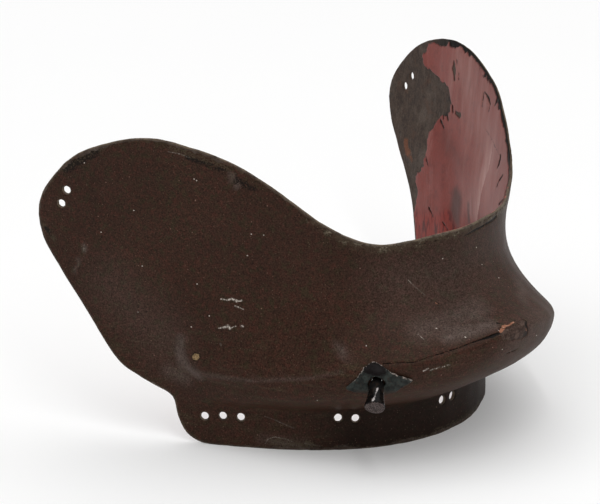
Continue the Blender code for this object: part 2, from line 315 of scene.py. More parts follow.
# Marks on the brown lacquer
SCUFFS = (
    Stroke(-88.2, 89.6, -84.7, 89.4, 0.13, 0.60),
    Stroke(-84.7, 89.4, -81.8, 88.5, 0.13, 0.50),
    Stroke(-74.5, 46.4, -72.8, 46.3, 0.19, 0.80),
    Stroke(-72.8, 46.3, -71.3, 46.8, 0.24, 0.90),
    Stroke(-71.3, 46.8, -69.9, 46.3, 0.32, 1.00),
    Stroke(-69.9, 46.3, -68.4, 46.6, 0.22, 0.90),
    Stroke(-70.7, 44.8, -69.7, 44.5, 0.22, 0.90),
    Stroke(-69.7, 44.5, -68.3, 44.0, 0.16, 0.70),
    Stroke(-77.5, 37.8, -75.9, 38.2, 0.22, 0.80),
    Stroke(-75.9, 38.2, -74.6, 38.7, 0.30, 1.00),
    Stroke(-74.6, 38.7, -74.2, 38.2, 0.38, 1.00),
    Stroke(-74.2, 38.2, -72.2, 39.0, 0.16, 0.70),
    Stroke(-70.6, 39.2, -70.2, 39.2, 0.30, 0.80),
    Stroke(-30.8, 31.1, -29.7, 31.7, 0.24, 0.90),
    Stroke(-29.0, 31.1, -27.9, 31.5, 0.19, 0.80),
    Stroke(-27.3, 31.5, -26.3, 32.0, 0.16, 0.70),
    Stroke(-25.6, 31.8, -24.8, 32.0, 0.16, 0.70),
    Stroke(-24.2, 32.3, -23.3, 32.3, 0.16, 0.70),
    Stroke(-20.6, 52.5, -16.7, 47.9, 0.11, 0.70),
    Stroke(-25.7, 39.7, -25.5, 38.4, 0.11, 0.60),
    Stroke(-6.8, 39.5, -6.2, 38.7, 0.27, 0.60),
    Stroke(-65.3, 10.3, -61.7, 9.3, 0.18, 0.37),
    Stroke(-61.7, 9.3, -58.7, 8.1, 0.21, 0.43),
    Stroke(-58.7, 8.1, -55.5, 7.0, 0.23, 0.37),
    Stroke(-65.0, 1.7, -64.0, 3.3, 0.17, 0.43),
    Stroke(-64.0, 3.3, -61.7, 4.0, 0.17, 0.50),
    Stroke(-61.7, 4.0, -58.4, 3.5, 0.17, 0.50),
    Stroke(-58.4, 3.5, -55.8, 2.7, 0.17, 0.43),
    Stroke(-62.5, 2.4, -58.0, 2.0, 0.78, 0.31),
    Stroke(-57.0, 1.9, -53.6, 1.4, 0.52, 0.31),
    Stroke(-51.9, 2.4, -47.0, 1.5, 0.39, 0.31),
    Stroke(-41.0, 1.3, -38.0, 1.5, 0.39, 0.31),
    Stroke(-116.2, 56.6, -116.6, 55.4, 0.90, 0.50),
    Stroke(-118.8, 52.8, -119.4, 51.4, 0.70, 0.50),
    Stroke(-121.4, 48.8, -121.9, 47.6, 0.60, 0.50),
)
SPECKS = (
    (-80.9, 82.1),
    (-80.2, 81.7),
    (-64.9, 66.9),
    (-79.2, 41.0),
    (-81.3, 50.1),
    (-86.3, 36.9),
    (-114.4, 82.6),
    (-110.4, 61.9),
    (-98.6, 53.2),
    (-16.4, 41.2),
    (-20.1, 40.6),
    (-9.1, 56.8),
    (4.8, 56.7),
    (12.1, 46.2),
    (9.5, 33.5),
    (-25.4, 39.8),
    (-40.4, 36.7),
    (-18.4, 39.5),
    (-16.0, 38.8),
    (-99.6, 70.2),
    (-66.2, 60.2),
)
SPECK_RADIUS = 0.15
SPECK_STROKES = [Stroke(arc, height, arc + 0.05, height, SPECK_RADIUS, 1.0) for arc, height in SPECKS]
# Pale patches on the brown lacquer: a few are real dust, most are painted sheen and highlight, on the
# lower rear of the near wing, along the turned-up end of the jaw ridge and the ridge line, above the chin
# crack and on the chin and cheeks
DUST_AND_SHEEN = (
    Stroke(-110.0, 46.0, -96.0, 32.0, 7.0, 0.2),
    Stroke(-90.6, 32.6, -91.9, 28.5, 1.2, 0.9),
    Stroke(-91.9, 28.5, -91.6, 24.8, 1.5, 1.0),
    Stroke(-91.6, 24.8, -89.4, 22.4, 1.4, 0.95),
    Stroke(-96.0, 21.5, -92.5, 20.5, 2.0, 0.5),
    Stroke(-69.9, 84.2, -68.3, 81.0, 0.7, 0.8),
    Stroke(-88.0, 23.1, -77.0, 24.6, 0.45, 0.45),
    Stroke(-77.0, 24.6, -62.0, 27.4, 0.5, 0.35),
    Stroke(-62.0, 27.4, -52.0, 30.2, 0.5, 0.25),
    Stroke(-47.4, 36.0, -47.9, 33.9, 1.0, 0.6),
    Stroke(-20.0, 38.8, -7.0, 40.6, 1.7, 0.9),
    Stroke(0.0, 34.0, 18.0, 36.0, 5.0, 0.4),
    Stroke(-24.0, 40.5, -5.0, 43.5, 3.2, 0.55),
    Stroke(-22.0, 52.0, 6.0, 53.0, 9.0, 0.28),
    Stroke(6.0, 36.5, 26.0, 36.0, 4.0, 0.5),
    Stroke(14.0, 41.0, 24.0, 41.5, 2.0, 0.5),
    Stroke(-66.0, 3.0, -52.0, 2.0, 1.5, 0.3),
)
ORANGE = (
    Stroke(-6.5, 39.3, -4.6, 39.9, 0.38, 1.0),
    Stroke(-4.6, 39.9, -0.4, 40.2, 0.20, 1.0),
    Stroke(-14.9, 45.8, -14.3, 45.4, 0.16, 0.7),
    Stroke(3.0, 38.6, 3.3, 36.8, 0.12, 0.5),
)
TAN = (
    Stroke(-87.5, 28.5, -87.3, 28.8, 0.95, 1.0),
)
SMALL_MARKS = [mark for mark in SCUFFS + ORANGE + TAN if mark.half < 0.5] + SPECK_STROKES
RIM_WEAR = (
    Stroke(-121.7, 79.8, -112.3, 86.2, 1.1, 1.0),
    Stroke(-112.3, 86.2, -108.1, 88.4, 0.9, 1.0),
    Stroke(-87.6, 91.0, -71.8, 86.9, 1.1, 0.9),
    Stroke(-70.6, 85.0, -69.4, 82.4, 0.9, 0.7),
    Stroke(-128.9, 61.0, -125.5, 56.8, 1.0, 0.8),
    Stroke(-62.0, 2.3, -50.0, 1.6, 1.6, 1.0),
    Stroke(-42.0, 0.8, -36.0, 0.8, 0.8, 0.8),
    Stroke(-22.0, 0.8, -10.0, 0.8, 0.9, 0.8),
    Stroke(-6.0, 0.8, 22.0, 1.4, 1.3, 1.0),
)
CHIPPED_DARK = (
    Stroke(-120.6, 79.6, -110.0, 86.6, 1.0, 0.8),
    Stroke(-82.6, 88.6, -71.0, 85.2, 0.8, 0.6),
    Stroke(-68.4, 83.0, -64.0, 81.0, 0.9, 0.9),
    Stroke(-128.2, 60.4, -127.2, 58.8, 0.6, 0.9),
)

# Marks on the red lacquer of the left wing
RED_SHADOWS = (
    Stroke(85.4, 45.6, 89.6, 36.6, 2.6, 1.0),
    Stroke(77.0, 46.4, 78.4, 40.0, 0.8, 0.8),
    Stroke(96.0, 60.0, 84.0, 57.0, 5.0, 0.35),
)
RED_STREAKS = (
    Stroke(116.0, 28.5, 92.0, 33.0, 3.4, 1.0),
    Stroke(100.0, 34.0, 92.0, 38.0, 1.6, 0.8),
)
# Painted sheen inside the left wing: a pale band behind this crease, fading over its reach, and a broad
# pale bloom, standing in for reflections of the light
SHEEN_CREASE = (
    (62.9, 70.0),
    (62.6, 66.3),
    (63.1, 61.0),
    (65.8, 54.8),
    (67.9, 49.1),
    (71.9, 42.4),
)
SHEEN_REACH = 6.5
SHEEN_BLOOM = (
    Stroke(90.0, 85.0, 60.0, 62.0, 11.0, 0.55),
)
FINE_SCRATCHES = (
    Stroke(69.7, 71.4, 55.0, 68.2, 0.14, 0.9),
    Stroke(62.0, 70.6, 56.0, 66.0, 0.10, 0.5),
    Stroke(86.0, 66.5, 80.0, 66.0, 0.10, 0.4),
)
FLAME = (
    Stroke(50.0, 69.6, 46.0, 67.0, 0.9, 0.9),
    Stroke(46.0, 67.0, 42.6, 62.0, 1.1, 1.0),
    Stroke(42.6, 62.0, 42.2, 55.0, 1.3, 1.0),
)
IRON_RUST_PLACES = (
    Stroke(118.9, 53.4, 117.9, 50.2, 1.0, 1.0),
    Stroke(116.5, 51.5, 115.5, 49.0, 0.7, 0.8),
    Stroke(121.9, 68.5, 119.5, 66.0, 1.2, 0.35),
    Stroke(118.8, 79.7, 117.0, 78.0, 0.9, 0.3),
)

# Camera, fitted to the outline and the holes of the mask in the photograph
CAMERA_AZIMUTH = radians(-46.964)
CAMERA_ELEVATION = radians(19.905)
CAMERA_TARGET = Vector((10.517, 36.291, 35.162)) * MM
CAMERA_DISTANCE = 1157.4 * MM
IMAGE_WIDTH = 600
FOCAL_PIXELS = 3858.1
SENSOR_WIDTH = 36.0

# Light: a white tent, brightest overhead and darker on one side, and a long narrow lamp in front
SIDE_STRENGTH = 0.52
OVERHEAD_STRENGTH = 1.95
DARK_SHARE = 0.45
DARK_SIDE = Vector((-0.87, -0.5, 0.05)).normalized()
LAMP_AZIMUTH = radians(-36)
LAMP_ELEVATION = radians(56)
LAMP_DISTANCE = 1.2
LAMP_WIDTH = 0.05
LAMP_LENGTH = 0.95
LAMP_POWER = 2.4

# The table is a lit translucent sheet
FLOOR_GLOW = 0.18


def smoothstep(low, high, value):
    share = np.clip((value - low) / (high - low), 0, 1)
    return share * share * (3 - 2 * share)


def heading(arc, curve):
    """Angle that a plan curve has turned through at this length from its middle."""
    length = np.abs(arc)
    return curve.turn * np.tanh(length / curve.soften) + WING_CURL * length ** 2


def plan_point(arc, curve):
    """X and Y of a plan curve, walked along its heading from the middle of the face."""
    grid = np.linspace(0, ARC_LIMIT, 641)
    angle = heading(grid, curve)
    middle = (angle[1:] + angle[:-1]) / 2
    across = np.concatenate([[0], np.cumsum(np.cos(middle) * grid[1])])
    back = np.concatenate([[0], np.cumsum(np.sin(middle) * grid[1])])
    length = np.abs(arc) * curve.stretch
    x = np.sign(arc) * np.interp(length, grid, across) + CENTRE_X
    y = np.interp(length, grid, back) - curve.reach + CENTRE_Y
    return np.stack([x, y], axis=-1)


def ridge_height(arc):
    share = np.clip(np.hypot(arc, RIDGE_PEAK_ROUNDING) / RIDGE_REAR_ARC, 0, 1)
    return RIDGE_FRONT_HEIGHT + (RIDGE_REAR_HEIGHT - RIDGE_FRONT_HEIGHT) * share


def surface(arc, height):
    """Outer face of the sheet in millimetres, before hammer marks, with its bends rounded."""
    arc, height = np.broadcast_arrays(np.asarray(arc, float), np.asarray(height, float))
    flange = plan_point(arc, FLANGE)
    ridge = plan_point(arc, RIDGE)
    lip = plan_point(arc, LIP)
    ridge_z = ridge_height(arc)
    fade = smoothstep(*RIDGE_FADE, np.abs(arc))
    share = (ridge_z - FLANGE_HEIGHT) / (LIP_HEIGHT - FLANGE_HEIGHT)
    straight = flange + (lip - flange) * share[..., None]
    ridge = ridge + (straight - ridge) * fade[..., None]
    angle = heading(arc, LIP)
    outward = np.stack([np.sign(arc) * np.sin(angle), -np.cos(angle)], axis=-1)

    plan = 0
    for shift, weight in ROUNDING:
        here = height + shift
        below = np.clip((ridge_z - here) / (ridge_z - FLANGE_HEIGHT), 0, 1)
        above = np.clip((LIP_HEIGHT - here) / (LIP_HEIGHT - ridge_z), 0, 1)
        to_flange = (below ** (UNDER_POWER + (1 - UNDER_POWER) * fade))[..., None]
        to_ridge = (above ** (CHEEK_POWER + (1 - CHEEK_POWER) * fade))[..., None]
        under = ridge + (flange - ridge) * to_flange
        cheek = lip + (ridge - lip) * to_ridge
        spread = LEFT_SPREAD * smoothstep(*SPREAD_ARCS, arc) * smoothstep(*SPREAD_HEIGHTS, here)
        lean = np.clip(here - LIP_HEIGHT, 0, None) * LIP_LEAN + spread
        bent = np.where((here < ridge_z)[..., None], under, cheek) + outward * lean[..., None]
        plan = plan + bent * weight
    return np.concatenate([plan, height[..., None]], axis=-1)


def surface_normal(arc, height):
    step = 0.2
    along = surface(arc + step, height) - surface(arc - step, height)
    up = surface(arc, height + step) - surface(arc, height - step)
    normal = np.cross(along, up)
    return normal / np.linalg.norm(normal, axis=-1, keepdims=True)


def curve_through(rows, steps):
    """Catmull-Rom curve through the rows of a table, with a number of steps between rows."""
    rows = np.asarray(rows, float)
    rows = np.vstack([2 * rows[0] - rows[1], rows, 2 * rows[-1] - rows[-2]])
    points = []
    for first, here, there, last in zip(rows, rows[1:], rows[2:], rows[3:]):
        for t in np.arange(steps) / steps:
            points.append(here + 0.5 * t * (there - first
                          + t * (2 * first - 5 * here + 4 * there - last
                                 + t * (3 * here - first - 3 * there + last))))
    points.append(rows[-2])
    return np.array(points)


def outline_half(wing):
    """Edge of one half of the sheet as arc and height, from the lower middle to the upper middle."""
    rows = curve_through(FRONT + wing, 4)
    low, top = rows[:, :2], rows[:, 2:]
    low[:, 1] = np.maximum(low[:, 1], 0)
    tip = np.linspace(low[-1], top[-1], 4)[1:-1]
    return np.vstack([low, tip, top[::-1]])


def outline_loop():
    """Closed outline of the whole sheet, anticlockwise seen from outside."""
    right = outline_half(RIGHT_WING)[::-1][1:-1] * (-1, 1)
    return np.vstack([outline_half(LEFT_WING), right])


def cloud(arc, height, size, octaves=3, seed=0):
    """Smooth random field over the sheet, from about -1 to 1."""
    field = [noise.fractal((a / size, h / size, 7.3 * seed), 0.9, 2.1, octaves)
             for a, h in zip(arc, height)]
    return np.array(field) * 1.4


def near_segments(places, starts, ends):
    """Distance of each place from its nearest segment, that segment's number and the share along it."""
    best = np.full(len(places), np.inf)
    number = np.zeros(len(places), int)
    along = np.zeros(len(places))
    for i, (start, end) in enumerate(zip(np.asarray(starts, float), np.asarray(ends, float))):
        step = end - start
        away = places - start
        share = np.clip(away @ step / max(step @ step, 1e-9), 0, 1)
        away = away - share[:, None] * step
        distance = np.sqrt(np.einsum("ij,ij->i", away, away))
        closer = distance < best
        best = np.where(closer, distance, best)
        number = np.where(closer, i, number)
        along = np.where(closer, share, along)
    return best, number, along


LOOP = outline_loop()


def inside_loop(arc, height, loop):
    inside = np.zeros(len(arc), bool)
    for (x0, y0), (x1, y1) in zip(loop, np.roll(loop, -1, axis=0)):
        if y0 == y1:
            continue
        crosses = (y0 > height) != (y1 > height)
        inside ^= crosses & (arc < (x1 - x0) * (height - y0) / (y1 - y0) + x0)
    return inside


def rim_distance(arc, height):
    """Distance from the sheet's outline, positive inside it."""
    distance = near_segments(np.stack([arc, height], -1), LOOP, np.roll(LOOP, -1, axis=0))[0]
    return np.where(inside_loop(arc, height, LOOP), distance, -distance)


def left_of_line(places, line):
    """Signed distance from an open line, positive on its left, with the nearest segment and share."""
    distance, number, along = near_segments(places, line[:-1], line[1:])
    step = line[number + 1] - line[number]
    away = places - line[number]
    side = step[:, 0] * away[:, 1] - step[:, 1] * away[:, 0]
    return np.where(side > 0, distance, -distance), number, along


def jaw_swell(arc, height):
    """How far the cheek stands proud inside the turned-up end of the jaw ridge."""
    line = np.array([(turn.arc, turn.height) for turn in JAW_TURN])
    swell = np.array([turn.swell for turn in JAW_TURN])
    distance, number, along = left_of_line(np.stack([np.abs(arc), height], -1), line)
    amount = swell[number] + (swell[number + 1] - swell[number]) * along
    slope = np.clip(1 + distance / TURN_SLOPE, 0, 1) ** 1.5
    return amount * np.where(distance > 0, np.exp(-(distance / TURN_REACH) ** 2), slope)


def relief(arc, height):
    """How far the hammered sheet stands off its smooth shape."""
    hammer = HAMMER_DEPTH * cloud(arc, height, HAMMER_SIZE, 2, seed=1)
    turned = np.exp(-np.clip(rim_distance(arc, height), 0, None) / LIP_TURN_WIDTH)
    front_top = (1 - smoothstep(34, 60, np.abs(arc))) * smoothstep(50, 56, height)
    return hammer + jaw_swell(arc, height) + LIP_TURN_OUT * turned * front_top


SIDES = ((-1, FLANGE_HOLES + RIGHT_WING_HOLES), (1, FLANGE_HOLES + LEFT_WING_HOLES))
HOLE_CENTRES = [(side * hole.arc, hole.height, HOLE_RADIUS) for side, holes in SIDES for hole in holes]
HOLE_CENTRES += [(side * PEG_ARC, PEG_HEIGHT, PEG_HOLE_RADIUS) for side in (-1, 1)]


def hole_distance(arc, height):
    """Distance outside the nearest hole, measured on the sheet itself."""
    places = surface(arc, height)
    best = np.full(len(arc), 99.0)
    for hole_arc, hole_height, radius in HOLE_CENTRES:
        close = (np.abs(arc - hole_arc) < 6) & (np.abs(height - hole_height) < 6)
        centre = surface(hole_arc, hole_height)
        distance = np.linalg.norm(places[close] - centre, axis=1) - radius
        best[close] = np.minimum(best[close], distance)
    return best


def slit_distance(arc, height, slits):
    """Distance outside the nearest slit, measured on the sheet itself."""
    best = np.full(len(arc), 99.0)
    for slit in slits:
        ends = surface([slit.arc, slit.to_arc], [slit.height, slit.to_height])
        middle = (slit.arc + slit.to_arc) / 2
        level = (slit.height + slit.to_height) / 2
        reach = 7 + abs(slit.arc - slit.to_arc) / 2
        close = (np.abs(arc - middle) < reach) & (np.abs(height - level) < reach)
        places = surface(arc[close], height[close])
        distance, number, along = near_segments(places, ends[:1], ends[1:])
        half = slit.half + (slit.to_half - slit.half) * along
        best[close] = np.minimum(best[close], distance - half)
    return best


def crater_distance(arc, height):
    """Distance outside the burst patch on the chin."""
    loop = np.array(CRATER)
    distance = near_segments(np.stack([arc, height], -1), loop, np.roll(loop, -1, axis=0))[0]
    return np.where(inside_loop(arc, height, loop), -distance, distance)


def frayed(arc, height, distance, depth, size, seed):
    """The same distance with a frayed edge."""
    close = np.abs(distance) < 3
    result = distance.copy()
    result[close] += depth * cloud(arc[close], height[close], size, 3, seed=seed)
    return result


def plate_keep(arc, height):
    """Positive where the iron is, with a hand-cut rim."""
    rim = rim_distance(arc, height)
    cut = 0.12 * cloud(arc, height, 5.0, 2, seed=3)
    return np.minimum(rim - RIM_ROUNDING + np.minimum(cut, 0), hole_distance(arc, height) - HOLE_ROUNDING)


def brown_gap(arc, height):
    """Distance outside the crack, the burst patch and the slits in the brown lacquer."""
    slits = slit_distance(arc, height, DARK_SLITS)
    close = slits < 2
    slits[close] -= 0.12 * np.clip(cloud(arc[close], height[close], 0.9, 3, seed=2), 0, None)
    crater = frayed(arc, height, crater_distance(arc, height), 0.35, 1.4, seed=11)
    return np.minimum(slits, crater)


def brown_keep(arc, height):
    """Positive where the brown lacquer is left."""
    rim = rim_distance(arc, height)
    nibbled = 0.2 + 0.35 * np.clip(cloud(arc, height, 2.2, 4, seed=4) + 0.1, 0, None)
    lightened = stroke_mark(arc, height, RIM_WEAR) * 0.5
    lightened = lightened * (1 + 0.8 * cloud(arc, height, 1.6, 3, seed=5))
    keep = np.minimum(rim - RIM_ROUNDING - nibbled - np.clip(lightened, 0, None),
                      hole_distance(arc, height) - HOLE_ROUNDING)
    return np.minimum(keep, brown_gap(arc, height))


def red_keep(arc, height):
    """Positive where the red lacquer is left."""
    rim = rim_distance(arc, height)
    front_edge = smoothstep(36, 50, arc) * (1 - smoothstep(98, 112, arc)) * smoothstep(50, 62, height)
    nibbled = 0.3 + (0.7 + 0.6 * front_edge) * np.clip(cloud(arc, height, 3.0, 4, seed=6) + 0.35, 0, None)
    left = frayed(arc, height, red_edge_distance(arc, height, RED_EDGE_LEFT), 1.1, 4.5, seed=7)
    right = frayed(arc, height, red_edge_distance(-arc, height, RED_EDGE_RIGHT), 1.1, 4.5, seed=7)
    keep = np.minimum(rim - RIM_ROUNDING - nibbled, hole_distance(arc, height) - HOLE_ROUNDING - 0.05)
    slits = frayed(arc, height, slit_distance(arc, height, RED_SLITS), 0.16, 1.0, seed=2)
    return np.minimum(np.minimum(keep, slits), np.minimum(left, right))


def red_edge_distance(arc, height, edge):
    """Distance in front of the line where the red lacquer ends."""
    line = np.array(edge)[:, ::-1]
    distance = near_segments(np.stack([arc, height], -1), line[:-1], line[1:])[0]
    return np.where(arc < np.interp(height, line[:, 1], line[:, 0]), distance, -distance)


def stroke_mark(arc, height, strokes):
    """Strength of the marks at each place, 1 on a stroke's own line and 0 from twice its half width."""
    best = np.zeros(len(arc))
    for stroke in strokes:
        steps = 2 + int(np.hypot(stroke.to_arc - stroke.arc, stroke.to_height - stroke.height) / 4)
        arcs = np.linspace(stroke.arc, stroke.to_arc, steps)
        heights = np.linspace(stroke.height, stroke.to_height, steps)
        line = surface(arcs, heights)
        reach = 6 + 2 * stroke.half
        close = (arc > arcs.min() - reach) & (arc < arcs.max() + reach)
        close &= (height > heights.min() - reach) & (height < heights.max() + reach)
        distance = near_segments(surface(arc[close], height[close]), line[:-1], line[1:])[0]
        mark = stroke.strength * np.clip(1 - distance / (2 * stroke.half), 0, 1)
        best[close] = np.maximum(best[close], mark)
    return best


def mark_cell(arc, height, strokes):
    """Size of cell that small marks ask for."""
    wide = [stroke._replace(half=0.8, strength=1.0) for stroke in strokes]
    closeness = stroke_mark(arc, height, wide)
    return np.where(closeness > 0, 1.1 - closeness, 9)


def speck_mark(arc, height):
    return stroke_mark(arc, height, SPECK_STROKES)


def lattice(need, size, levels):
    """Square cells over the sheet, each split into four while it is larger than need says.

    Returns the places and the faces. A face's outline takes in its smaller neighbours' corners.
    """
    fine = 2 ** levels
    unit = size / fine
    start = np.array([-134.0, -2.0])
    columns, rows = int(268 / size), int(97 / size)
    corner = np.stack(np.meshgrid(np.arange(columns), np.arange(rows), indexing="ij"), -1).reshape(-1, 2)
    corner = corner * fine
    leaves = []
    span = fine
    while True:
        middle = start + (corner + span / 2) * unit
        arc, height = middle.T
        inside = rim_distance(arc, height) > -span * unit
        corner, arc, height = corner[inside], arc[inside], height[inside]
        split = (need(arc, height) < span * unit) if span > 1 else np.zeros(len(arc), bool)
        leaves += [(x, y, span) for x, y in corner[~split]]
        if not split.any():
            break
        span //= 2
        steps = np.array([(0, 0), (span, 0), (0, span), (span, span)])
        corner = (corner[split][:, None] + steps).reshape(-1, 2)
    index = {}
    for x, y, span in leaves:
        for place in ((x, y), (x + span, y), (x, y + span), (x + span, y + span)):
            index.setdefault(place, len(index))
    faces = []
    for x, y, span in leaves:
        walk = [(x + i, y) for i in range(span)]
        walk += [(x + span, y + i) for i in range(span)]
        walk += [(x + span - i, y + span) for i in range(span)]
        walk += [(x, y + span - i) for i in range(span)]
        faces.append([index[place] for place in walk if place in index])
    return start + np.array(list(index)) * unit, faces


def trimmed(places, faces, keep):
    """Cuts away the part of the sheet where keep is negative."""
    depth = keep(*places.T)
    bm = bmesh.new()
    verts = [bm.verts.new((arc, height, value)) for (arc, height), value in zip(places, depth)]
    for face in faces:
        if max(depth[i] for i in face) > 0:
            bm.faces.new([verts[i] for i in face])
    bmesh.ops.delete(bm, geom=[v for v in bm.verts if not v.link_faces], context="VERTS")
    bmesh.ops.bisect_plane(bm, geom=bm.verts[:] + bm.edges[:] + bm.faces[:], dist=0.02,
                           plane_co=(0, 0, 0), plane_no=(0, 0, 1), clear_inner=True)
    drop_islands(bm, 12)
    split_touching(bm)
    bm.verts.index_update()
    places = np.array([vert.co[:2] for vert in bm.verts])
    faces = [[vert.index for vert in face.verts] for face in bm.faces]
    bm.free()
    return places, faces


def drop_islands(bm, least):
    """Removes loose bits of fewer faces than least."""
    seen = set()
    small = []
    for first in bm.faces:
        if first in seen:
            continue
        island, front = [], [first]
        seen.add(first)
        while front:
            face = front.pop()
            island.append(face)
            for edge in face.edges:
                for other in edge.link_faces:
                    if other not in seen:
                        seen.add(other)
                        front.append(other)
        if len(island) < least:
            small += island
    bmesh.ops.delete(bm, geom=small, context="FACES")


def split_touching(bm):
    """Parts the sheet where two corners touch at a single point."""
    for vert in list(bm.verts):
        if sum(edge.is_boundary for edge in vert.link_edges) > 2:
            bmesh.utils.vert_separate(vert, vert.link_edges[:])


def closed_sheet(name, places, faces, outer, inner, rounding, steps):
    """A closed piece between two distances from the sheet's outer face, with a rounded rim.

    The distances count outwards. Returns the object and, for each vertex, its own place on the sheet
    and how far through it lies, from 0 at the outer face to 1 at the inner one.
    """
    arc, height = places.T
    base = surface(arc, height)
    normal = surface_normal(arc, height)
    raised = relief(arc, height)
    out_face = base + normal * (raised + outer)[:, None]
    in_face = base + normal * (raised + inner)[:, None]
    count = len(places)

    edges = {}
    for face in faces:
        for i, j in zip(face, face[1:] + face[:1]):
            edges[(i, j)] = True
    rim = [(i, j) for i, j in edges if (j, i) not in edges]
    after = dict(rim)
    before = {j: i for i, j in rim}
    order = list(after)
    number = {vert: k for k, vert in enumerate(order)}
    along = out_face[[after[v] for v in order]] - out_face[[before[v] for v in order]]
    away = np.cross(along, normal[order])
    away /= np.maximum(np.linalg.norm(away, axis=1, keepdims=True), 1e-6)
    middle = (out_face[order] + in_face[order]) / 2
    half = (out_face[order] - in_face[order]) / 2
    bulge = rounding(arc[order], height[order])[:, None]
    rings = []
    for k in range(1, steps):
        angle = pi * k / steps
        rings.append(middle + half * cos(angle) + away * bulge * sin(angle))

    points = np.vstack([out_face, in_face] + rings)
    polygons = [list(face) for face in faces]
    polygons += [[count + i for i in reversed(face)] for face in faces]

    def ring_vertex(vert, k):
        if k == 0:
            return vert
        if k == steps:
            return count + vert
        return 2 * count + (k - 1) * len(order) + number[vert]

    for i, j in rim:
        for k in range(steps):
            polygons.append([ring_vertex(j, k), ring_vertex(i, k),
                             ring_vertex(i, k + 1), ring_vertex(j, k + 1)])
    mesh = bpy.data.meshes.new(name)
    mesh.from_pydata((points * MM).tolist(), [], polygons)
    mesh.validate()
    mesh.shade_smooth()
    mesh.set_sharp_from_angle(angle=radians(50))
    obj = bpy.data.objects.new(name, mesh)
    bpy.context.collection.objects.link(obj)
    sheet_places = np.vstack([places, places] + [places[order]] * (steps - 1))
    through = np.repeat(np.arange(-1, steps) / steps, [count, count] + [len(order)] * (steps - 1))
    through[:count] = 0
    through[count:2 * count] = 1
    return obj, np.column_stack([sheet_places, through])


def store(obj, name, values):
    """Keeps one number for each vertex, for the material to read."""
    attribute = obj.data.attributes.new(name, "FLOAT", "POINT")
    attribute.data.foreach_set("value", np.asarray(values, np.float32))


def rim_rounding(arc, height):
    at_hole = hole_distance(arc, height) < 0.5
    return np.where(at_hole, HOLE_ROUNDING, RIM_ROUNDING)


def feature_distance(arc, height):
    """Distance from the bends of the sheet and its holes, where its cells are smaller."""
    side = np.abs(arc)
    ridge = np.abs(height - ridge_height(arc)) - 0.4
    ridge = np.where(side < RIDGE_FADE[1], ridge, 9)
    flange = np.where(side < RIDGE_FADE[1], np.abs(height - FLANGE_HEIGHT) - 0.3, 9)
    return np.minimum(np.minimum(ridge, flange), np.abs(hole_distance(arc, height)))


def make_plate():
    def need(arc, height):
        near_rim = np.abs(rim_distance(arc, height)) * 0.6
        return np.minimum(feature_distance(arc, height) + 0.2, near_rim + 0.2) * 1.2

    places, faces = lattice(need, 1.4, 2)
    places, faces = trimmed(places, faces, plate_keep)
    inside = -PLATE_THICKNESS + LACQUER_THICKNESS
    plate, where = closed_sheet("iron_plate", places, faces, -LACQUER_THICKNESS, inside, rim_rounding, 6)
    arc, height, through = where.T
    store(plate, "orange", stroke_mark(arc, height, ORANGE))
    store(plate, "rust", stroke_mark(arc, height, IRON_RUST_PLACES))
    store(plate, "through", through)
    rim = rim_distance(arc, height)
    store(plate, "rim", np.clip(rim, 0, 10))
    left_front = smoothstep(40, 46, arc) * (1 - smoothstep(98, 112, arc)) * smoothstep(55, 62, height)
    lip = (1 - smoothstep(34, 42, np.abs(arc))) * smoothstep(50, 60, height)
    narrow = tuple(slit for slit in RED_SLITS if max(slit.half, slit.to_half) < 0.6)
    # Near black: painted shade in the slits; the band inside the left wing's front rim is dark iron
    dark = smoothstep(1.0, -0.1, slit_distance(arc, height, DARK_SLITS + narrow))
    dark = np.maximum(dark, left_front * smoothstep(4.5, 2.5, rim))
    store(plate, "dark", dark)
    store(plate, "lip", lip * smoothstep(6.0, 3.0, rim))
    store(plate, "chip", smoothstep(1.0, 0.2, crater_distance(arc, height)))
    return plate


def brown_lift(arc, height):
    """The lacquer curls up along the upper side of the chin crack."""
    line = np.array([(crack.arc, crack.height) for crack in CHIN_CRACK])
    distance, number, along = left_of_line(np.stack([arc, height], -1), line)
    width = np.interp(arc, line[:, 0], [crack.half for crack in CHIN_CRACK]) / 0.34
    curl = CRACK_LIFT * width * np.exp(-np.abs(distance) / CRACK_LIFT_REACH)
    return np.where(distance > 0, curl, 0)


def lip_band(arc, height):
    """1 on the worn strip along the lip in front, 0 elsewhere."""
    front = 1 - smoothstep(38, 60, np.abs(arc))
    return front * smoothstep(55, 60, height)


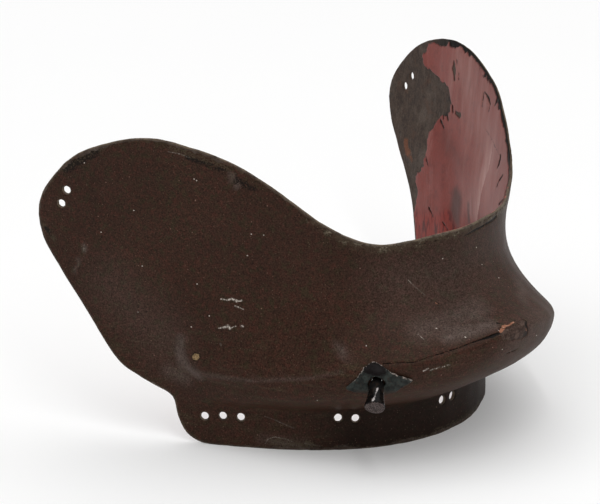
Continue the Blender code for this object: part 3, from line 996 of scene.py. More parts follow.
def make_brown_lacquer():
    def need(arc, height):
        marks = mark_cell(arc, height, SMALL_MARKS)
        edge = np.abs(brown_keep(arc, height)) + 0.15
        return np.minimum(np.minimum(feature_distance(arc, height) + 0.2, edge), marks)

    places, faces = lattice(need, 1.6, 3)
    places, faces = trimmed(places, faces, brown_keep)
    arc, height = places.T
    depth = np.clip(brown_keep(arc, height), 0, None)
    lift = brown_lift(arc, height)
    thin = -0.1 * np.exp(-depth / 0.25)
    inner = -LACQUER_THICKNESS - LACQUER_SUNK
    lacquer, where = closed_sheet("brown_lacquer", places, faces, lift + thin,
                                  np.where(lift > LACQUER_SUNK, lift + inner + 0.02, inner),
                                  lambda arc, height: 0 * arc + 0.05, 3)
    arc, height, through = where.T
    store(lacquer, "scuff", stroke_mark(arc, height, SCUFFS))
    store(lacquer, "speck", speck_mark(arc, height))
    store(lacquer, "dust_and_sheen", stroke_mark(arc, height, DUST_AND_SHEEN))
    store(lacquer, "orange", stroke_mark(arc, height, ORANGE))
    store(lacquer, "tan", stroke_mark(arc, height, TAN))
    store(lacquer, "wear", stroke_mark(arc, height, RIM_WEAR))
    store(lacquer, "dark", stroke_mark(arc, height, CHIPPED_DARK))
    rim = rim_distance(arc, height)
    store(lacquer, "rim", np.clip(rim, 0, 10))
    store(lacquer, "lip", lip_band(arc, height) * smoothstep(5.0, 1.0, rim))
    # Painted shade: the front of the flange, under the chin's overhang, is darkened
    flange = smoothstep(FLANGE_HEIGHT + 2.5, FLANGE_HEIGHT - 1.0, height)
    store(lacquer, "painted_flange_shade", flange * smoothstep(58, 34, np.abs(arc)))
    store(lacquer, "arc", arc)
    store(lacquer, "height", height)
    return lacquer


def make_red_lacquer():
    def need(arc, height):
        edge = np.abs(red_keep(arc, height)) + 0.15
        scratch = np.where(stroke_mark(arc, height, FINE_SCRATCHES) > 0, 0.1, 9)
        crease = np.abs(crease_side(arc, height)) + 0.3
        marks = np.minimum(scratch, crease)
        return np.minimum(np.minimum(feature_distance(arc, height) + 0.25, edge), marks)

    places, faces = lattice(need, 1.3, 2)
    places, faces = trimmed(places, faces, red_keep)
    arc, height = places.T
    depth = np.clip(red_keep(arc, height), 0, None)
    thin = 0.1 * np.exp(-depth / 0.3)
    curl = -0.12 * np.exp(-(depth / 1.2)) * np.clip(cloud(arc, height, 6, 2, seed=8), 0, 1)
    outer = np.full(len(arc), -PLATE_THICKNESS + LACQUER_THICKNESS + LACQUER_SUNK)
    lacquer, where = closed_sheet("red_lacquer", places, faces, outer, -PLATE_THICKNESS + thin + curl,
                                  lambda arc, height: 0 * arc + 0.05, 3)
    arc, height, through = where.T
    store(lacquer, "edge", np.clip(red_keep(arc, height), 0, 5))
    store(lacquer, "shadow", stroke_mark(arc, height, RED_SHADOWS))
    store(lacquer, "streak", stroke_mark(arc, height, RED_STREAKS))
    store(lacquer, "scratch", stroke_mark(arc, height, FINE_SCRATCHES))
    store(lacquer, "flame", stroke_mark(arc, height, FLAME))
    # Painted sheen: pale behind the crease inside the left wing, and a broad bloom
    side = crease_side(arc, height)
    level = smoothstep(38, 46, height) * (1 - smoothstep(66, 76, height))
    near_wing = smoothstep(40, 50, arc)
    painted_sheen = level * near_wing * np.where(side < 0, np.exp(side / SHEEN_REACH), 0)
    store(lacquer, "painted_sheen", np.maximum(painted_sheen, stroke_mark(arc, height, SHEEN_BLOOM)))
    return lacquer


def crease_side(arc, height):
    """Signed distance from the crease inside the left wing, negative behind it."""
    return left_of_line(np.stack([arc, height], -1), np.array(SHEEN_CREASE)[::-1])[0]


Ring = namedtuple("Ring", "along radius")
PEG_PROFILE = (
    Ring(-1.25, 0.0),
    Ring(-1.25, 1.2),
    Ring(0.1, 1.3),
    Ring(0.4, 1.75),
    Ring(1.0, 2.0),
    Ring(1.7, 2.1),
    Ring(2.4, 2.2),
    Ring(3.6, 2.2),
    Ring(5.2, 2.35),
    Ring(6.8, 2.62),
    Ring(8.0, 2.9),
    Ring(8.5, 2.88),
    Ring(8.85, 2.65),
    Ring(9.0, 2.2),
    Ring(8.95, 1.0),
    Ring(8.9, 0.0),
)
PEG_SIDES = 48
# Painted highlights on the black peg: pale streaks along it at these turns, twisting a little, standing
# in for reflections of the lamp
PEG_HIGHLIGHT_TWIST = radians(5)
Streak = namedtuple("Streak", "turn half")
PEG_HIGHLIGHTS = (
    Streak(radians(58), radians(19)),
    Streak(radians(-22), radians(12)),
    Streak(radians(170), radians(14)),
)

# Outline of the right washer: across counts towards the front, rise upwards from the peg's root.
# Between two corners it runs straight, as shears cut it.
Corner = namedtuple("Corner", "across rise")
WASHER_OUTLINE = (
    Corner(-8.7, -2.2),
    Corner(-6.9, -3.0),
    Corner(-4.9, -3.5),
    Corner(-3.2, -3.6),
    Corner(-1.2, -4.0),
    Corner(2.0, -4.2),
    Corner(4.6, -4.0),
    Corner(6.6, -3.4),
    Corner(7.7, -1.8),
    Corner(9.2, -0.6),
    Corner(10.3, 0.7),
    Corner(8.6, 1.5),
    Corner(5.6, 2.5),
    Corner(3.2, 3.6),
    Corner(1.6, 5.0),
    Corner(0.4, 4.9),
    Corner(-2.1, 3.6),
    Corner(-5.7, 1.2),
)
WASHER_CELL = 0.22
HOOD_HEIGHT = 1.3
HOOD_MOUTH = 2.6


def peg_axis(arc):
    """The way a peg points: straight out from the jaw, and down."""
    angle = heading(arc, RIDGE)
    outward = Vector((np.sign(arc) * sin(angle), -cos(angle), 0))
    return outward * cos(PEG_DROOP) - Vector((0, 0, sin(PEG_DROOP)))


def make_peg():
    """A turned peg with a flared end, slightly out of true as a hand-filed one is."""
    profile = curve_through(PEG_PROFILE, 3)
    bm = bmesh.new()
    rings = []
    for along, radius in profile:
        ring = []
        for i in range(PEG_SIDES):
            angle = 2 * pi * i / PEG_SIDES
            filed = 1 + 0.03 * cos(3 * angle + along * 0.4) * smoothstep(1.5, 4, along)
            wide = max(radius, 0.02) * filed
            ring.append(bm.verts.new((wide * cos(angle) * MM, wide * sin(angle) * MM, along * MM)))
        rings.append(ring)
    for lower, upper in zip(rings, rings[1:]):
        for i in range(PEG_SIDES):
            j = (i + 1) % PEG_SIDES
            bm.faces.new((lower[i], lower[j], upper[j], upper[i]))
    bm.faces.new(rings[0][::-1])
    bm.faces.new(rings[-1])
    mesh = bpy.data.meshes.new("turned_peg_right")
    bm.to_mesh(mesh)
    bm.free()
    mesh.shade_smooth()
    peg = bpy.data.objects.new("turned_peg_right", mesh)
    bpy.context.collection.objects.link(peg)
    place = np.array([vert.co[:] for vert in mesh.vertices]) / MM
    store(peg, "along", place[:, 2])
    # Painted highlight streaks along the peg
    turn = np.arctan2(place[:, 1], place[:, 0])
    lightened = np.zeros(len(turn))
    for streak in PEG_HIGHLIGHTS:
        away = np.abs((turn - streak.turn - PEG_HIGHLIGHT_TWIST * place[:, 2] + pi) % (2 * pi) - pi)
        lightened = np.maximum(lightened, 1 - away / streak.half)
    reach = smoothstep(2.6, 3.6, place[:, 2]) * smoothstep(8.6, 8.2, place[:, 2])
    store(peg, "lightened", lightened * reach)
    turn = Vector(peg_axis(-PEG_ARC)).to_track_quat("Z", "Y").to_matrix().to_4x4()
    root = Vector(surface(-PEG_ARC, PEG_HEIGHT)) * MM
    mesh.transform(Matrix.Translation(root) @ turn)
    return peg


def washer_edge(across, rise):
    """Distance from the washer's outline, positive inside it."""
    outline = np.array(WASHER_OUTLINE)
    ends = np.roll(outline, -1, axis=0)
    distance = near_segments(np.stack([across, rise], -1), outline, ends)[0]
    return np.where(inside_loop(across, rise, outline), distance, -distance)


def make_washer():
    """A leaf of sheet iron round the peg, with a hood raised over the peg's root."""
    xs = np.arange(-9.5, 11, WASHER_CELL)
    ys = np.arange(-6, 5.8, WASHER_CELL)
    across, rise = (grid.ravel() for grid in np.meshgrid(xs, ys, indexing="ij"))
    places = np.stack([across, rise], -1)
    rows = len(ys)
    faces = [[i * rows + j, (i + 1) * rows + j, (i + 1) * rows + j + 1, i * rows + j + 1]
             for i in range(len(xs) - 1) for j in range(rows - 1)]

    def keep(across, rise):
        ragged = 0.14 * cloud(across, rise, 1.4, 3, seed=9)
        mouth = np.hypot(across, np.where(rise > 0, rise * 1.15, rise)) - HOOD_MOUTH
        return np.minimum(washer_edge(across, rise) + ragged - 0.15, mouth)

    places, faces = trimmed(places, faces, keep)
    across, rise = places.T
    edge = washer_edge(across, rise)
    arch = np.exp(-(across / 3.4) ** 2) * smoothstep(-0.5, 1.4, rise)
    hood = HOOD_HEIGHT * arch * (1 - smoothstep(2.6, 4.6, rise - 0.1 * across))
    curl = 0.45 * np.exp(-np.clip(edge, 0, 9) / 0.8) * smoothstep(0, 1.6, rise)
    dents = 0.12 * cloud(across, rise, 2.5, 3, seed=10)
    lift = 0.12 + hood + curl + np.clip(dents, -0.08, 1)
    washer, where = closed_sheet("leaf_washer_right", places + (-PEG_ARC, PEG_HEIGHT), faces,
                                 lift + 0.7, lift, lambda arc, height: 0 * arc + 0.15, 4)
    across = where[:, 0] + PEG_ARC
    rise = where[:, 1] - PEG_HEIGHT
    store(washer, "rim", washer_edge(across, rise))
    store(washer, "rise", rise)
    # Painted shade: the hood just above the peg's mouth is coloured near black, the shadow in the gap
    # under it
    store(washer, "painted_hood_shade", smoothstep(1.7, 3.0, rise - 0.10 * across) * np.exp(-(across / 3.2) ** 2))
    return washer


class Shader:
    """A material's node tree, built one node at a time."""

    def __init__(self, name):
        self.material = bpy.data.materials.new(name)
        self.material.use_nodes = True
        self.tree = self.material.node_tree
        self.surface = self.tree.nodes["Principled BSDF"]
        place = self.tree.nodes.new("ShaderNodeTexCoord").outputs["Object"]
        self.place = self.vector("SCALE", place, scale=1 / MM)

    def link(self, socket, value):
        if isinstance(value, bpy.types.NodeSocket):
            self.tree.links.new(value, socket)
        elif isinstance(value, tuple) and len(value) == 3 and socket.type == "RGBA":
            socket.default_value = (*value, 1)
        else:
            socket.default_value = value

    def vector(self, operation, first, second=None, scale=None):
        node = self.tree.nodes.new("ShaderNodeVectorMath")
        node.operation = operation
        self.link(node.inputs[0], first)
        if second is not None:
            self.link(node.inputs[1], second)
        if scale is not None:
            self.link(node.inputs["Scale"], scale)
        return node.outputs[0]

    def combine(self, across, up):
        """A place made of two numbers."""
        node = self.tree.nodes.new("ShaderNodeCombineXYZ")
        self.link(node.inputs[0], across)
        self.link(node.inputs[1], up)
        return node.outputs[0]

    def math(self, operation, *values, clamp=False):
        node = self.tree.nodes.new("ShaderNodeMath")
        node.operation = operation
        node.use_clamp = clamp
        for socket, value in zip(node.inputs, values):
            self.link(socket, value)
        return node.outputs[0]

    def noise(self, size, detail=2.0, roughness=0.5, distortion=0.0, place=None, stretch=None):
        """Noise from 0 to 1, whose patches are about size millimetres wide."""
        node = self.tree.nodes.new("ShaderNodeTexNoise")
        place = place or self.place
        if stretch:
            place = self.vector("MULTIPLY", place, stretch)
        self.link(node.inputs["Vector"], place)
        node.inputs["Scale"].default_value = 1 / size
        node.inputs["Detail"].default_value = detail
        node.inputs["Roughness"].default_value = roughness
        node.inputs["Distortion"].default_value = distortion
        return node.outputs["Fac"]

    def cells(self, size):
        """Distance from the nearest of many scattered points, and a random number for each."""
        node = self.tree.nodes.new("ShaderNodeTexVoronoi")
        self.link(node.inputs["Vector"], self.place)
        node.inputs["Scale"].default_value = 1 / size
        separate = self.tree.nodes.new("ShaderNodeSeparateColor")
        self.link(separate.inputs[0], node.outputs["Color"])
        return node.outputs["Distance"], separate.outputs

    def stored(self, name):
        node = self.tree.nodes.new("ShaderNodeAttribute")
        node.attribute_name = name
        return node.outputs["Fac"]

    def step(self, value, low, high):
        """0 below low, 1 above high, smooth between; low may be the larger."""
        node = self.tree.nodes.new("ShaderNodeMapRange")
        node.interpolation_type = "SMOOTHSTEP"
        self.link(node.inputs["Value"], value)
        flip = low > high
        node.inputs["From Min"].default_value = min(low, high)
        node.inputs["From Max"].default_value = max(low, high)
        node.inputs["To Min"].default_value = 1.0 if flip else 0.0
        node.inputs["To Max"].default_value = 0.0 if flip else 1.0
        return node.outputs["Result"]

    def span(self, value, low, high, to_low, to_high):
        node = self.tree.nodes.new("ShaderNodeMapRange")
        self.link(node.inputs["Value"], value)
        node.inputs["From Min"].default_value = low
        node.inputs["From Max"].default_value = high
        node.inputs["To Min"].default_value = to_low
        node.inputs["To Max"].default_value = to_high
        return node.outputs["Result"]

    def mix(self, first, second, share):
        node = self.tree.nodes.new("ShaderNodeMix")
        node.data_type = "RGBA"
        self.link(node.inputs["Factor"], share)
        self.link(node.inputs[6], first)
        self.link(node.inputs[7], second)
        return node.outputs[2]

    def shade(self, colour, factor):
        """Colour made lighter or darker by a factor."""
        node = self.tree.nodes.new("ShaderNodeMix")
        node.data_type = "RGBA"
        node.blend_type = "MULTIPLY"
        node.inputs["Factor"].default_value = 1
        self.link(node.inputs[6], colour)
        combine = self.tree.nodes.new("ShaderNodeCombineColor")
        for socket in combine.inputs:
            self.link(socket, factor)
        self.link(node.inputs[7], combine.outputs[0])
        return node.outputs[2]

    def bump(self, height, distance):
        """Fine relief whose depth is distance millimetres."""
        node = self.tree.nodes.new("ShaderNodeBump")
        node.inputs["Distance"].default_value = distance * MM
        self.link(node.inputs["Height"], height)
        self.link(self.surface.inputs["Normal"], node.outputs["Normal"])

    def set(self, **values):
        for name, value in values.items():
            self.link(self.surface.inputs[name.replace("_", " ")], value)


BROWN = (0.0370, 0.0184, 0.0120)
BROWN_RED = (0.0510, 0.0200, 0.0135)
BROWN_OLIVE = (0.0350, 0.0225, 0.0125)
BROWN_BLACK = (0.0090, 0.0065, 0.0050)
LACQUER_WORN = (0.062, 0.048, 0.030)
LACQUER_PALE = (0.170, 0.140, 0.102)
DUST_AND_SHEEN_COLOUR = (0.115, 0.087, 0.076)
SCUFF_COLOUR = (0.56, 0.50, 0.44)
TINY_SPECK = (0.23, 0.15, 0.10)
PINK_SPECK = (0.30, 0.17, 0.13)
ORANGE_COLOUR = (0.27, 0.115, 0.068)
ORANGE_PALE = (0.40, 0.25, 0.185)
TAN_COLOUR = (0.30, 0.205, 0.105)


def brown_material():
    s = Shader("brown_lacquer")
    grain = s.noise(0.46, 3, 0.7)
    mottle = s.noise(1.5, 4, 0.7)
    patches = s.noise(2.4, 3, 0.65, place=s.vector("ADD", s.place, (40.0, 10.0, 0.0)))
    broad = s.noise(19.0, 2, 0.5)
    along = s.combine(s.math("MULTIPLY", s.stored("arc"), 0.12), s.stored("height"))
    streak = s.noise(1.3, 3, 0.6, place=along)
    colour = s.mix(BROWN, BROWN_RED, s.step(mottle, 0.44, 0.66))
    colour = s.mix(colour, BROWN_OLIVE, s.step(patches, 0.5, 0.66))
    low = s.step(s.stored("height"), 44.0, 30.0)
    olive = s.math("MULTIPLY", low, s.step(streak, 0.52, 0.68))
    colour = s.mix(colour, (0.050, 0.036, 0.021), s.math("MULTIPLY", olive, 0.5))
    tone = s.math("MULTIPLY", s.span(grain, 0.3, 0.7, 0.36, 1.68), s.span(broad, 0.3, 0.7, 0.9, 1.1))
    colour = s.shade(colour, tone)
    # Painted shade darkens the flange's front under the chin
    colour = s.mix(colour, BROWN_BLACK, s.math("MULTIPLY", s.stored("painted_flange_shade"), 0.62))

    # Pale patches from the stored strokes: some real dust, mostly painted sheen and highlight
    dust_and_sheen = s.math("MULTIPLY", s.stored("dust_and_sheen"), s.span(mottle, 0.3, 0.7, 0.5, 1.4))
    dust_and_sheen = s.math("MULTIPLY", dust_and_sheen, s.span(grain, 0.34, 0.66, 0.35, 1.65), clamp=True)
    colour = s.mix(colour, DUST_AND_SHEEN_COLOUR, s.math("MULTIPLY", dust_and_sheen, 0.85))

    rim = s.stored("rim")
    frayed = s.math("ADD", rim, s.span(patches, 0.3, 0.7, -1.0, 0.8))
    lightened = s.math("MULTIPLY", s.step(frayed, 0.9, 0.2), 0.55)
    patch = s.math("MULTIPLY", s.stored("wear"), s.span(mottle, 0.3, 0.7, 0.4, 1.6))
    patch = s.math("MULTIPLY", s.step(patch, 0.3, 0.7), s.step(grain, 0.42, 0.58))
    colour = s.mix(colour, LACQUER_WORN, s.math("MAXIMUM", lightened, s.math("MULTIPLY", patch, 0.85)))
    lip = s.math("MULTIPLY", s.stored("lip"), s.span(mottle, 0.35, 0.65, 0.2, 1.5))
    colour = s.mix(colour, LACQUER_WORN, s.math("MULTIPLY", s.step(lip, 0.3, 1.0), 0.6))
    fringe = s.math("MULTIPLY", s.step(rim, 2.6, 1.2), s.step(lip, 0.2, 0.8))
    fringe = s.math("MULTIPLY", fringe, s.step(patches, 0.5, 0.6))
    colour = s.mix(colour, LACQUER_PALE, s.math("MULTIPLY", fringe, s.step(grain, 0.4, 0.6)))
    black = s.math("MULTIPLY", s.stored("dark"), s.span(mottle, 0.3, 0.7, 0.3, 1.6))
    black = s.math("MULTIPLY", s.step(black, 0.25, 0.45), s.step(grain, 0.64, 0.50))
    colour = s.mix(colour, BROWN_BLACK, s.math("MULTIPLY", black, 0.9))

    orange = s.math("MULTIPLY", s.stored("orange"), s.span(grain, 0.3, 0.7, 0.6, 1.5))
    colour = s.mix(colour, ORANGE_COLOUR, s.step(orange, 0.25, 0.5))
    colour = s.mix(colour, ORANGE_PALE, s.step(orange, 0.75, 0.95))
    tan = s.math("MULTIPLY", s.stored("tan"), s.span(grain, 0.3, 0.7, 0.8, 1.2))
    ring = s.math("MULTIPLY", s.step(tan, 0.22, 0.36), 0.6)
    colour = s.mix(colour, BROWN_BLACK, ring)
    spotted = s.mix(TAN_COLOUR, (0.13, 0.080, 0.040), s.step(grain, 0.46, 0.58))
    colour = s.mix(colour, spotted, s.step(tan, 0.40, 0.48))

    scuff = s.math("MULTIPLY", s.stored("scuff"), s.span(grain, 0.4, 0.62, 0.1, 1.6))
    haze = s.math("MULTIPLY", s.step(s.stored("scuff"), 0.05, 0.7), 0.14)
    colour = s.mix(colour, SCUFF_COLOUR, s.math("MAXIMUM", haze, s.step(scuff, 0.28, 0.95)))

    distance, random = s.cells(0.8)
    chosen = s.step(random[0], 0.50, 0.52)
    tiny = s.math("MULTIPLY", s.step(distance, 0.26, 0.08), chosen)
    colour = s.mix(colour, TINY_SPECK, s.math("MULTIPLY", tiny, s.span(random[1], 0.0, 1.0, 0.05, 0.40)))
    distance, random = s.cells(2.6)
    chosen = s.math("MULTIPLY", s.step(distance, 0.085, 0.04), s.step(random[0], 0.60, 0.62))
    colour = s.mix(colour, PINK_SPECK, s.math("MULTIPLY", chosen, s.span(random[1], 0.0, 1.0, 0.2, 0.9)))
    distance, random = s.cells(7.0)
    bright = s.math("MULTIPLY", s.step(distance, 0.035, 0.015), s.step(random[0], 0.5, 0.51))
    colour = s.mix(colour, SCUFF_COLOUR, s.math("MULTIPLY", bright, 0.8))
    colour = s.mix(colour, (0.6, 0.52, 0.46), s.step(s.stored("speck"), 0.25, 0.6))

    rough = s.math("ADD", s.span(grain, 0.3, 0.7, 0.42, 0.58), s.math("MULTIPLY", dust_and_sheen, 0.15))
    s.set(Base_Color=colour, Roughness=rough, Specular_IOR_Level=0.065)
    s.bump(s.math("ADD", s.math("MULTIPLY", grain, 0.5), mottle), 0.07)
    return s.material


RED = (0.200, 0.036, 0.026)
RED_DARK = (0.120, 0.020, 0.016)
RED_DEEP = (0.235, 0.018, 0.009)
RED_STREAK = (0.085, 0.006, 0.004)
RED_SHEEN = (0.43, 0.245, 0.22)
RED_ORANGE = (0.33, 0.10, 0.055)
RED_BLACK = (0.026, 0.011, 0.009)
RED_GREY = (0.078, 0.028, 0.023)


def red_material():
    s = Shader("red_lacquer")
    grain = s.noise(0.7, 3, 0.65)
    mottle = s.noise(3.6, 4, 0.65)
    broad = s.noise(20.0, 2, 0.5)
    streak = s.noise(5.0, 4, 0.65, stretch=(1.0, 1.0, 0.14))
    colour = s.mix(RED, RED_DARK, s.math("MULTIPLY", s.step(mottle, 0.48, 0.75), 0.7))
    # Pale vertical streaks at random, in the painted sheen colour
    colour = s.mix(colour, RED_SHEEN, s.math("MULTIPLY", s.step(streak, 0.52, 0.75), 0.22))
    tone = s.math("MULTIPLY", s.span(grain, 0.3, 0.7, 0.86, 1.14), s.span(broad, 0.3, 0.7, 0.9, 1.1))
    colour = s.shade(colour, tone)

    # Painted sheen from the stored crease band and bloom
    painted_sheen = s.math("MULTIPLY", s.stored("painted_sheen"), s.span(streak, 0.35, 0.65, 0.45, 1.4))
    colour = s.mix(colour, RED_SHEEN, s.math("MULTIPLY", painted_sheen, 0.85, clamp=True))
    shadow = s.math("MULTIPLY", s.stored("shadow"), s.span(streak, 0.3, 0.7, 0.8, 1.25))
    colour = s.mix(colour, RED_GREY, s.math("MULTIPLY", s.step(shadow, 0.1, 0.7), 0.9))
    thin = s.noise(1.4, 3, 0.6, stretch=(1.0, 1.0, 0.2))
    streaky = s.math("MULTIPLY", s.step(s.stored("streak"), 0.05, 0.5), s.step(thin, 0.47, 0.6))
    deep = s.math("MULTIPLY", s.step(s.stored("streak"), 0.0, 0.6), 0.7)
    colour = s.mix(colour, RED_DEEP, deep)
    colour = s.mix(colour, RED_STREAK, s.math("MULTIPLY", streaky, 0.75))
    split = s.math("MULTIPLY", s.step(s.stored("streak"), 0.3, 0.8), s.step(thin, 0.58, 0.64))
    colour = s.mix(colour, (0.060, 0.010, 0.007), s.math("MULTIPLY", split, 0.8))
    flame = s.math("MULTIPLY", s.stored("flame"), s.span(thin, 0.3, 0.7, 0.5, 1.5))
    colour = s.mix(colour, RED_ORANGE, s.step(flame, 0.2, 0.6))
    broken = s.math("MULTIPLY", s.step(s.stored("flame"), 0.5, 0.9), s.step(thin, 0.52, 0.6))
    colour = s.mix(colour, RED_BLACK, broken)
    colour = s.mix(colour, RED_GREY, s.math("MULTIPLY", s.step(s.stored("scratch"), 0.2, 0.7), 0.8))

    ragged = s.math("ADD", s.stored("edge"), s.span(grain, 0.3, 0.7, -0.2, 0.2))
    colour = s.mix(colour, RED_BLACK, s.math("MULTIPLY", s.step(ragged, 0.35, 0.1), 0.6))
    rough = s.math("ADD", s.span(streak, 0.3, 0.7, 0.34, 0.46), s.span(grain, 0.3, 0.7, -0.03, 0.05))
    s.set(Base_Color=colour, Roughness=rough, Specular_IOR_Level=0.14)
    s.bump(s.math("ADD", s.math("MULTIPLY", grain, 0.25), mottle), 0.1)
    return s.material


IRON = (0.070, 0.049, 0.038)
IRON_DARK = (0.040, 0.027, 0.021)
IRON_PALE = (0.115, 0.090, 0.072)
IRON_RUST = (0.095, 0.042, 0.024)
IRON_BLACK = (0.0085, 0.0065, 0.0055)


def iron_material():
    s = Shader("bare_iron")
    grain = s.noise(0.5, 3, 0.7)
    mottle = s.noise(2.2, 4, 0.7)
    broad = s.noise(10.0, 3, 0.6)
    brushed = s.noise(1.0, 3, 0.6, stretch=(1.0, 1.0, 0.16))
    rusty = s.noise(6.0, 4, 0.65, place=s.vector("ADD", s.place, (0.0, 55.0, 20.0)))
    colour = s.mix(IRON_DARK, IRON, s.step(mottle, 0.35, 0.6))
    colour = s.mix(colour, IRON_PALE, s.math("MULTIPLY", s.step(broad, 0.48, 0.7), 0.6))
    colour = s.mix(colour, IRON_PALE, s.math("MULTIPLY", s.step(brushed, 0.52, 0.68), 0.45))
    colour = s.mix(colour, IRON_RUST, s.math("MULTIPLY", s.step(rusty, 0.55, 0.72), 0.5))
    rust = s.step(s.math("MULTIPLY", s.stored("rust"), s.span(mottle, 0.3, 0.7, 0.5, 1.5)), 0.15, 0.7)
    colour = s.mix(colour, (0.20, 0.068, 0.030), s.math("MULTIPLY", rust, 0.65))
    colour = s.shade(colour, s.span(grain, 0.3, 0.7, 0.68, 1.34))

    through = s.stored("through")
    edge_on = s.math("MULTIPLY", s.step(through, 0.04, 0.12), s.step(through, 0.72, 0.5))
    outer_line = s.math("MULTIPLY", edge_on, s.span(mottle, 0.35, 0.65, 0.0, 1.0))
    # Near black: painted shade in the slits, and the dark band at the left wing's front rim
    black = s.math("MULTIPLY", s.stored("dark"), s.span(mottle, 0.3, 0.7, 0.8, 1.3), clamp=True)
    colour = s.mix(colour, IRON_BLACK, black)
    colour = s.mix(colour, (0.16, 0.120, 0.078), s.math("MULTIPLY", outer_line, 0.8, clamp=True))
    bright = s.math("SUBTRACT", 1.0, black, clamp=True)
    lip = s.math("MULTIPLY", s.math("MULTIPLY", s.stored("lip"), bright), s.step(grain, 0.42, 0.6))
    colour = s.mix(colour, (0.13, 0.106, 0.078), s.math("MULTIPLY", lip, 0.6))
    reddish = s.math("MULTIPLY", s.stored("lip"), s.step(rusty, 0.5, 0.56))
    reddish = s.math("MULTIPLY", reddish, s.step(through, 0.4, 0.6))
    colour = s.mix(colour, (0.30, 0.09, 0.075), s.math("MULTIPLY", reddish, 0.85))
    burst = s.mix((0.034, 0.019, 0.014), (0.082, 0.052, 0.041), s.step(mottle, 0.4, 0.62))
    burst = s.shade(burst, s.span(grain, 0.3, 0.7, 0.6, 1.4))
    sunk = s.math("MULTIPLY", s.stored("chip"), s.math("SUBTRACT", 1.0, s.stored("dark")))
    colour = s.mix(colour, burst, sunk)
    orange = s.math("MULTIPLY", s.stored("orange"), s.span(grain, 0.3, 0.7, 0.6, 1.5))
    colour = s.mix(colour, ORANGE_COLOUR, s.step(orange, 0.25, 0.5))
    s.set(Base_Color=colour, Roughness=s.span(mottle, 0.3, 0.7, 0.5, 0.7), Specular_IOR_Level=0.1)
    s.bump(s.math("ADD", s.math("MULTIPLY", grain, 0.6), mottle), 0.12)
    return s.material


def washer_material():
    s = Shader("dark_iron")
    grain = s.noise(0.45, 3, 0.65)
    mottle = s.noise(1.6, 3, 0.6)
    colour = s.mix((0.013, 0.0150, 0.0140), (0.036, 0.043, 0.039), s.step(mottle, 0.35, 0.65))
    colour = s.mix(colour, (0.050, 0.030, 0.022), s.math("MULTIPLY", s.step(grain, 0.54, 0.68), 0.7))
    low = s.math("MULTIPLY", s.step(s.stored("rise"), -1.8, -3.6), s.step(mottle, 0.40, 0.55))
    colour = s.mix(colour, BROWN, s.math("MULTIPLY", low, 0.8))
    # Painted shade on the hood above the peg's mouth
    painted_hood_shade = s.math("MULTIPLY", s.stored("painted_hood_shade"), s.span(grain, 0.3, 0.7, 0.7, 1.3))
    colour = s.mix(colour, (0.0065, 0.0045, 0.0045), s.step(painted_hood_shade, 0.3, 0.6))
    rim = s.math("ADD", s.stored("rim"), s.span(grain, 0.3, 0.7, -0.2, 0.2))
    # Pale line on the upper edges only: worn edge and painted highlight
    upper = s.math("MULTIPLY", s.step(s.stored("rise"), -1.0, 1.5), s.step(mottle, 0.44, 0.54))
    colour = s.mix(colour, (0.27, 0.225, 0.20), s.math("MULTIPLY", s.step(rim, 0.21, 0.08), upper))
    s.set(Base_Color=colour, Roughness=s.span(mottle, 0.3, 0.7, 0.4, 0.6), Specular_IOR_Level=0.08)
    s.bump(s.math("ADD", s.math("MULTIPLY", grain, 0.5), mottle), 0.1)
    return s.material


def peg_material():
    s = Shader("black_lacquer")
    grain = s.noise(0.4, 3, 0.65)
    mottle = s.noise(1.6, 3, 0.6)
    colour = s.mix((0.0035, 0.0030, 0.0030), (0.016, 0.010, 0.007), s.step(mottle, 0.45, 0.7))
    along = s.math("ADD", s.stored("along"), s.span(grain, 0.3, 0.7, -0.15, 0.15))
    lightened = s.math("ADD", s.stored("lightened"), s.span(mottle, 0.3, 0.7, -0.35, 0.35))
    # Painted highlights: pale streaks along the peg
    colour = s.mix(colour, (0.46, 0.42, 0.41), s.math("MULTIPLY", s.step(lightened, 0.52, 0.85), 0.9))
    end = s.step(along, 8.5, 8.8)
    end_face_colour = s.mix((0.036, 0.027, 0.025), (0.14, 0.108, 0.102), s.step(grain, 0.4, 0.65))
    colour = s.mix(colour, end_face_colour, s.math("MULTIPLY", end, 0.9))
    root = s.step(along, 4.0, 2.6)
    dull = s.math("MAXIMUM", s.math("MULTIPLY", end, 0.4), s.math("MULTIPLY", root, 0.5))
    rough = s.math("ADD", s.span(mottle, 0.3, 0.7, 0.12, 0.3), dull)
    s.set(Base_Color=colour, Roughness=rough, Specular_IOR_Level=0.07)
    s.bump(mottle, 0.1)
    return s.material


def floor_material():
    s = Shader("floor")
    soft = s.noise(120.0, 2, 0.5)
    colour = s.mix((0.730, 0.730, 0.730), (0.745, 0.745, 0.743), soft)
    s.set(Base_Color=colour, Roughness=0.8, Specular_IOR_Level=0.1, Emission_Color=(1.0, 1.0, 1.0, 1.0),
          Emission_Strength=FLOOR_GLOW)
    return s.material


def dress(piece, material, slot, *nodes):
    """Gives a piece its material, ties it to the mask's one body and hides the CAD nodes it stands for.
    """
    piece.data.materials.clear()
    piece.data.materials.append(material)
    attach(piece, "root")
    if nodes:
        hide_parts(*nodes)


def make_floor():
    bpy.ops.mesh.primitive_grid_add(x_subdivisions=8, y_subdivisions=8, size=6)
    floor = bpy.context.object
    floor.name = "floor"
    floor.data.materials.append(floor_material())


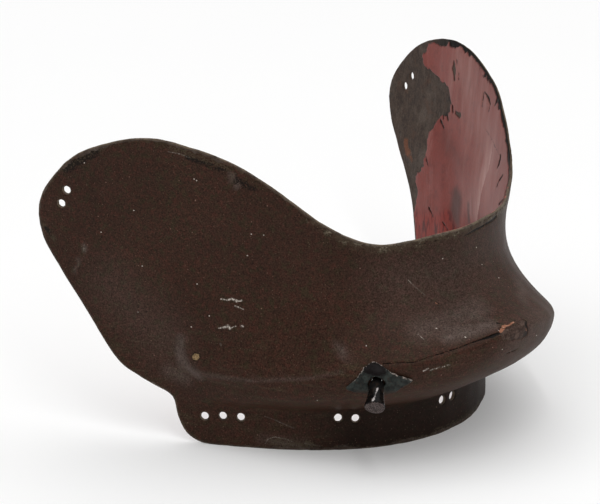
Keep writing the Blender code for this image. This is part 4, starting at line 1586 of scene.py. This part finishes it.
def make_world():
    """A white tent all round, brightest overhead and darker on the side that the mask's right faces."""
    world = bpy.data.worlds.new("studio")
    bpy.context.scene.world = world
    world.use_nodes = True
    tree = world.node_tree
    background = tree.nodes["Background"]
    background.inputs["Color"].default_value = (1, 1, 1, 1)
    direction = tree.nodes.new("ShaderNodeTexCoord").outputs["Generated"]

    def ramp(towards, low, high, to_low, to_high):
        facing = tree.nodes.new("ShaderNodeVectorMath")
        facing.operation = "DOT_PRODUCT"
        tree.links.new(direction, facing.inputs[0])
        facing.inputs[1].default_value = towards
        node = tree.nodes.new("ShaderNodeMapRange")
        node.interpolation_type = "SMOOTHSTEP"
        tree.links.new(facing.outputs["Value"], node.inputs["Value"])
        node.inputs["From Min"].default_value = low
        node.inputs["From Max"].default_value = high
        node.inputs["To Min"].default_value = to_low
        node.inputs["To Max"].default_value = to_high
        return node.outputs["Result"]

    strength = tree.nodes.new("ShaderNodeMath")
    strength.operation = "MULTIPLY"
    tree.links.new(ramp((0, 0, 1), 0.55, 0.97, SIDE_STRENGTH, OVERHEAD_STRENGTH), strength.inputs[0])
    tree.links.new(ramp(DARK_SIDE, 0.15, 0.9, 1.0, DARK_SHARE), strength.inputs[1])
    tree.links.new(strength.outputs[0], background.inputs["Strength"])


def make_lamp():
    """A long narrow lamp that leans over the mask, and gives the peg its shadow."""
    lamp = bpy.data.lights.new("lamp", "AREA")
    lamp.shape = "RECTANGLE"
    lamp.size = LAMP_WIDTH
    lamp.size_y = LAMP_LENGTH
    lamp.energy = LAMP_POWER
    obj = bpy.data.objects.new("lamp", lamp)
    bpy.context.collection.objects.link(obj)
    towards = Vector((sin(LAMP_AZIMUTH) * cos(LAMP_ELEVATION),
                      -cos(LAMP_AZIMUTH) * cos(LAMP_ELEVATION),
                      sin(LAMP_ELEVATION)))
    obj.location = towards * LAMP_DISTANCE
    obj.rotation_euler = towards.to_track_quat("Z", "Y").to_euler()


def make_camera():
    back = Vector((sin(CAMERA_AZIMUTH) * cos(CAMERA_ELEVATION),
                   -cos(CAMERA_AZIMUTH) * cos(CAMERA_ELEVATION),
                   sin(CAMERA_ELEVATION)))
    camera = bpy.data.cameras.new("camera")
    camera.sensor_fit = "HORIZONTAL"
    camera.sensor_width = SENSOR_WIDTH
    camera.lens = FOCAL_PIXELS * SENSOR_WIDTH / IMAGE_WIDTH
    camera.clip_start = 0.05
    obj = bpy.data.objects.new("camera", camera)
    bpy.context.collection.objects.link(obj)
    obj.location = CAMERA_TARGET + back * CAMERA_DISTANCE
    obj.rotation_euler = back.to_track_quat("Z", "Y").to_euler()
    bpy.context.scene.camera = obj


def main():
    bpy.context.scene.view_settings.view_transform = "Standard"
    make_camera()
    make_world()
    make_floor()
    make_lamp()

    dress(make_plate(), iron_material(), "dark_iron", "mask_plate")
    dress(make_brown_lacquer(), brown_material(), "brown_lacquer")
    dress(make_red_lacquer(), red_material(), "red_lacquer")
    dress(make_washer(), washer_material(), "dark_iron", "peg_washer_right")
    dress(make_peg(), peg_material(), "black_lacquer", "cord_peg_right")


main()
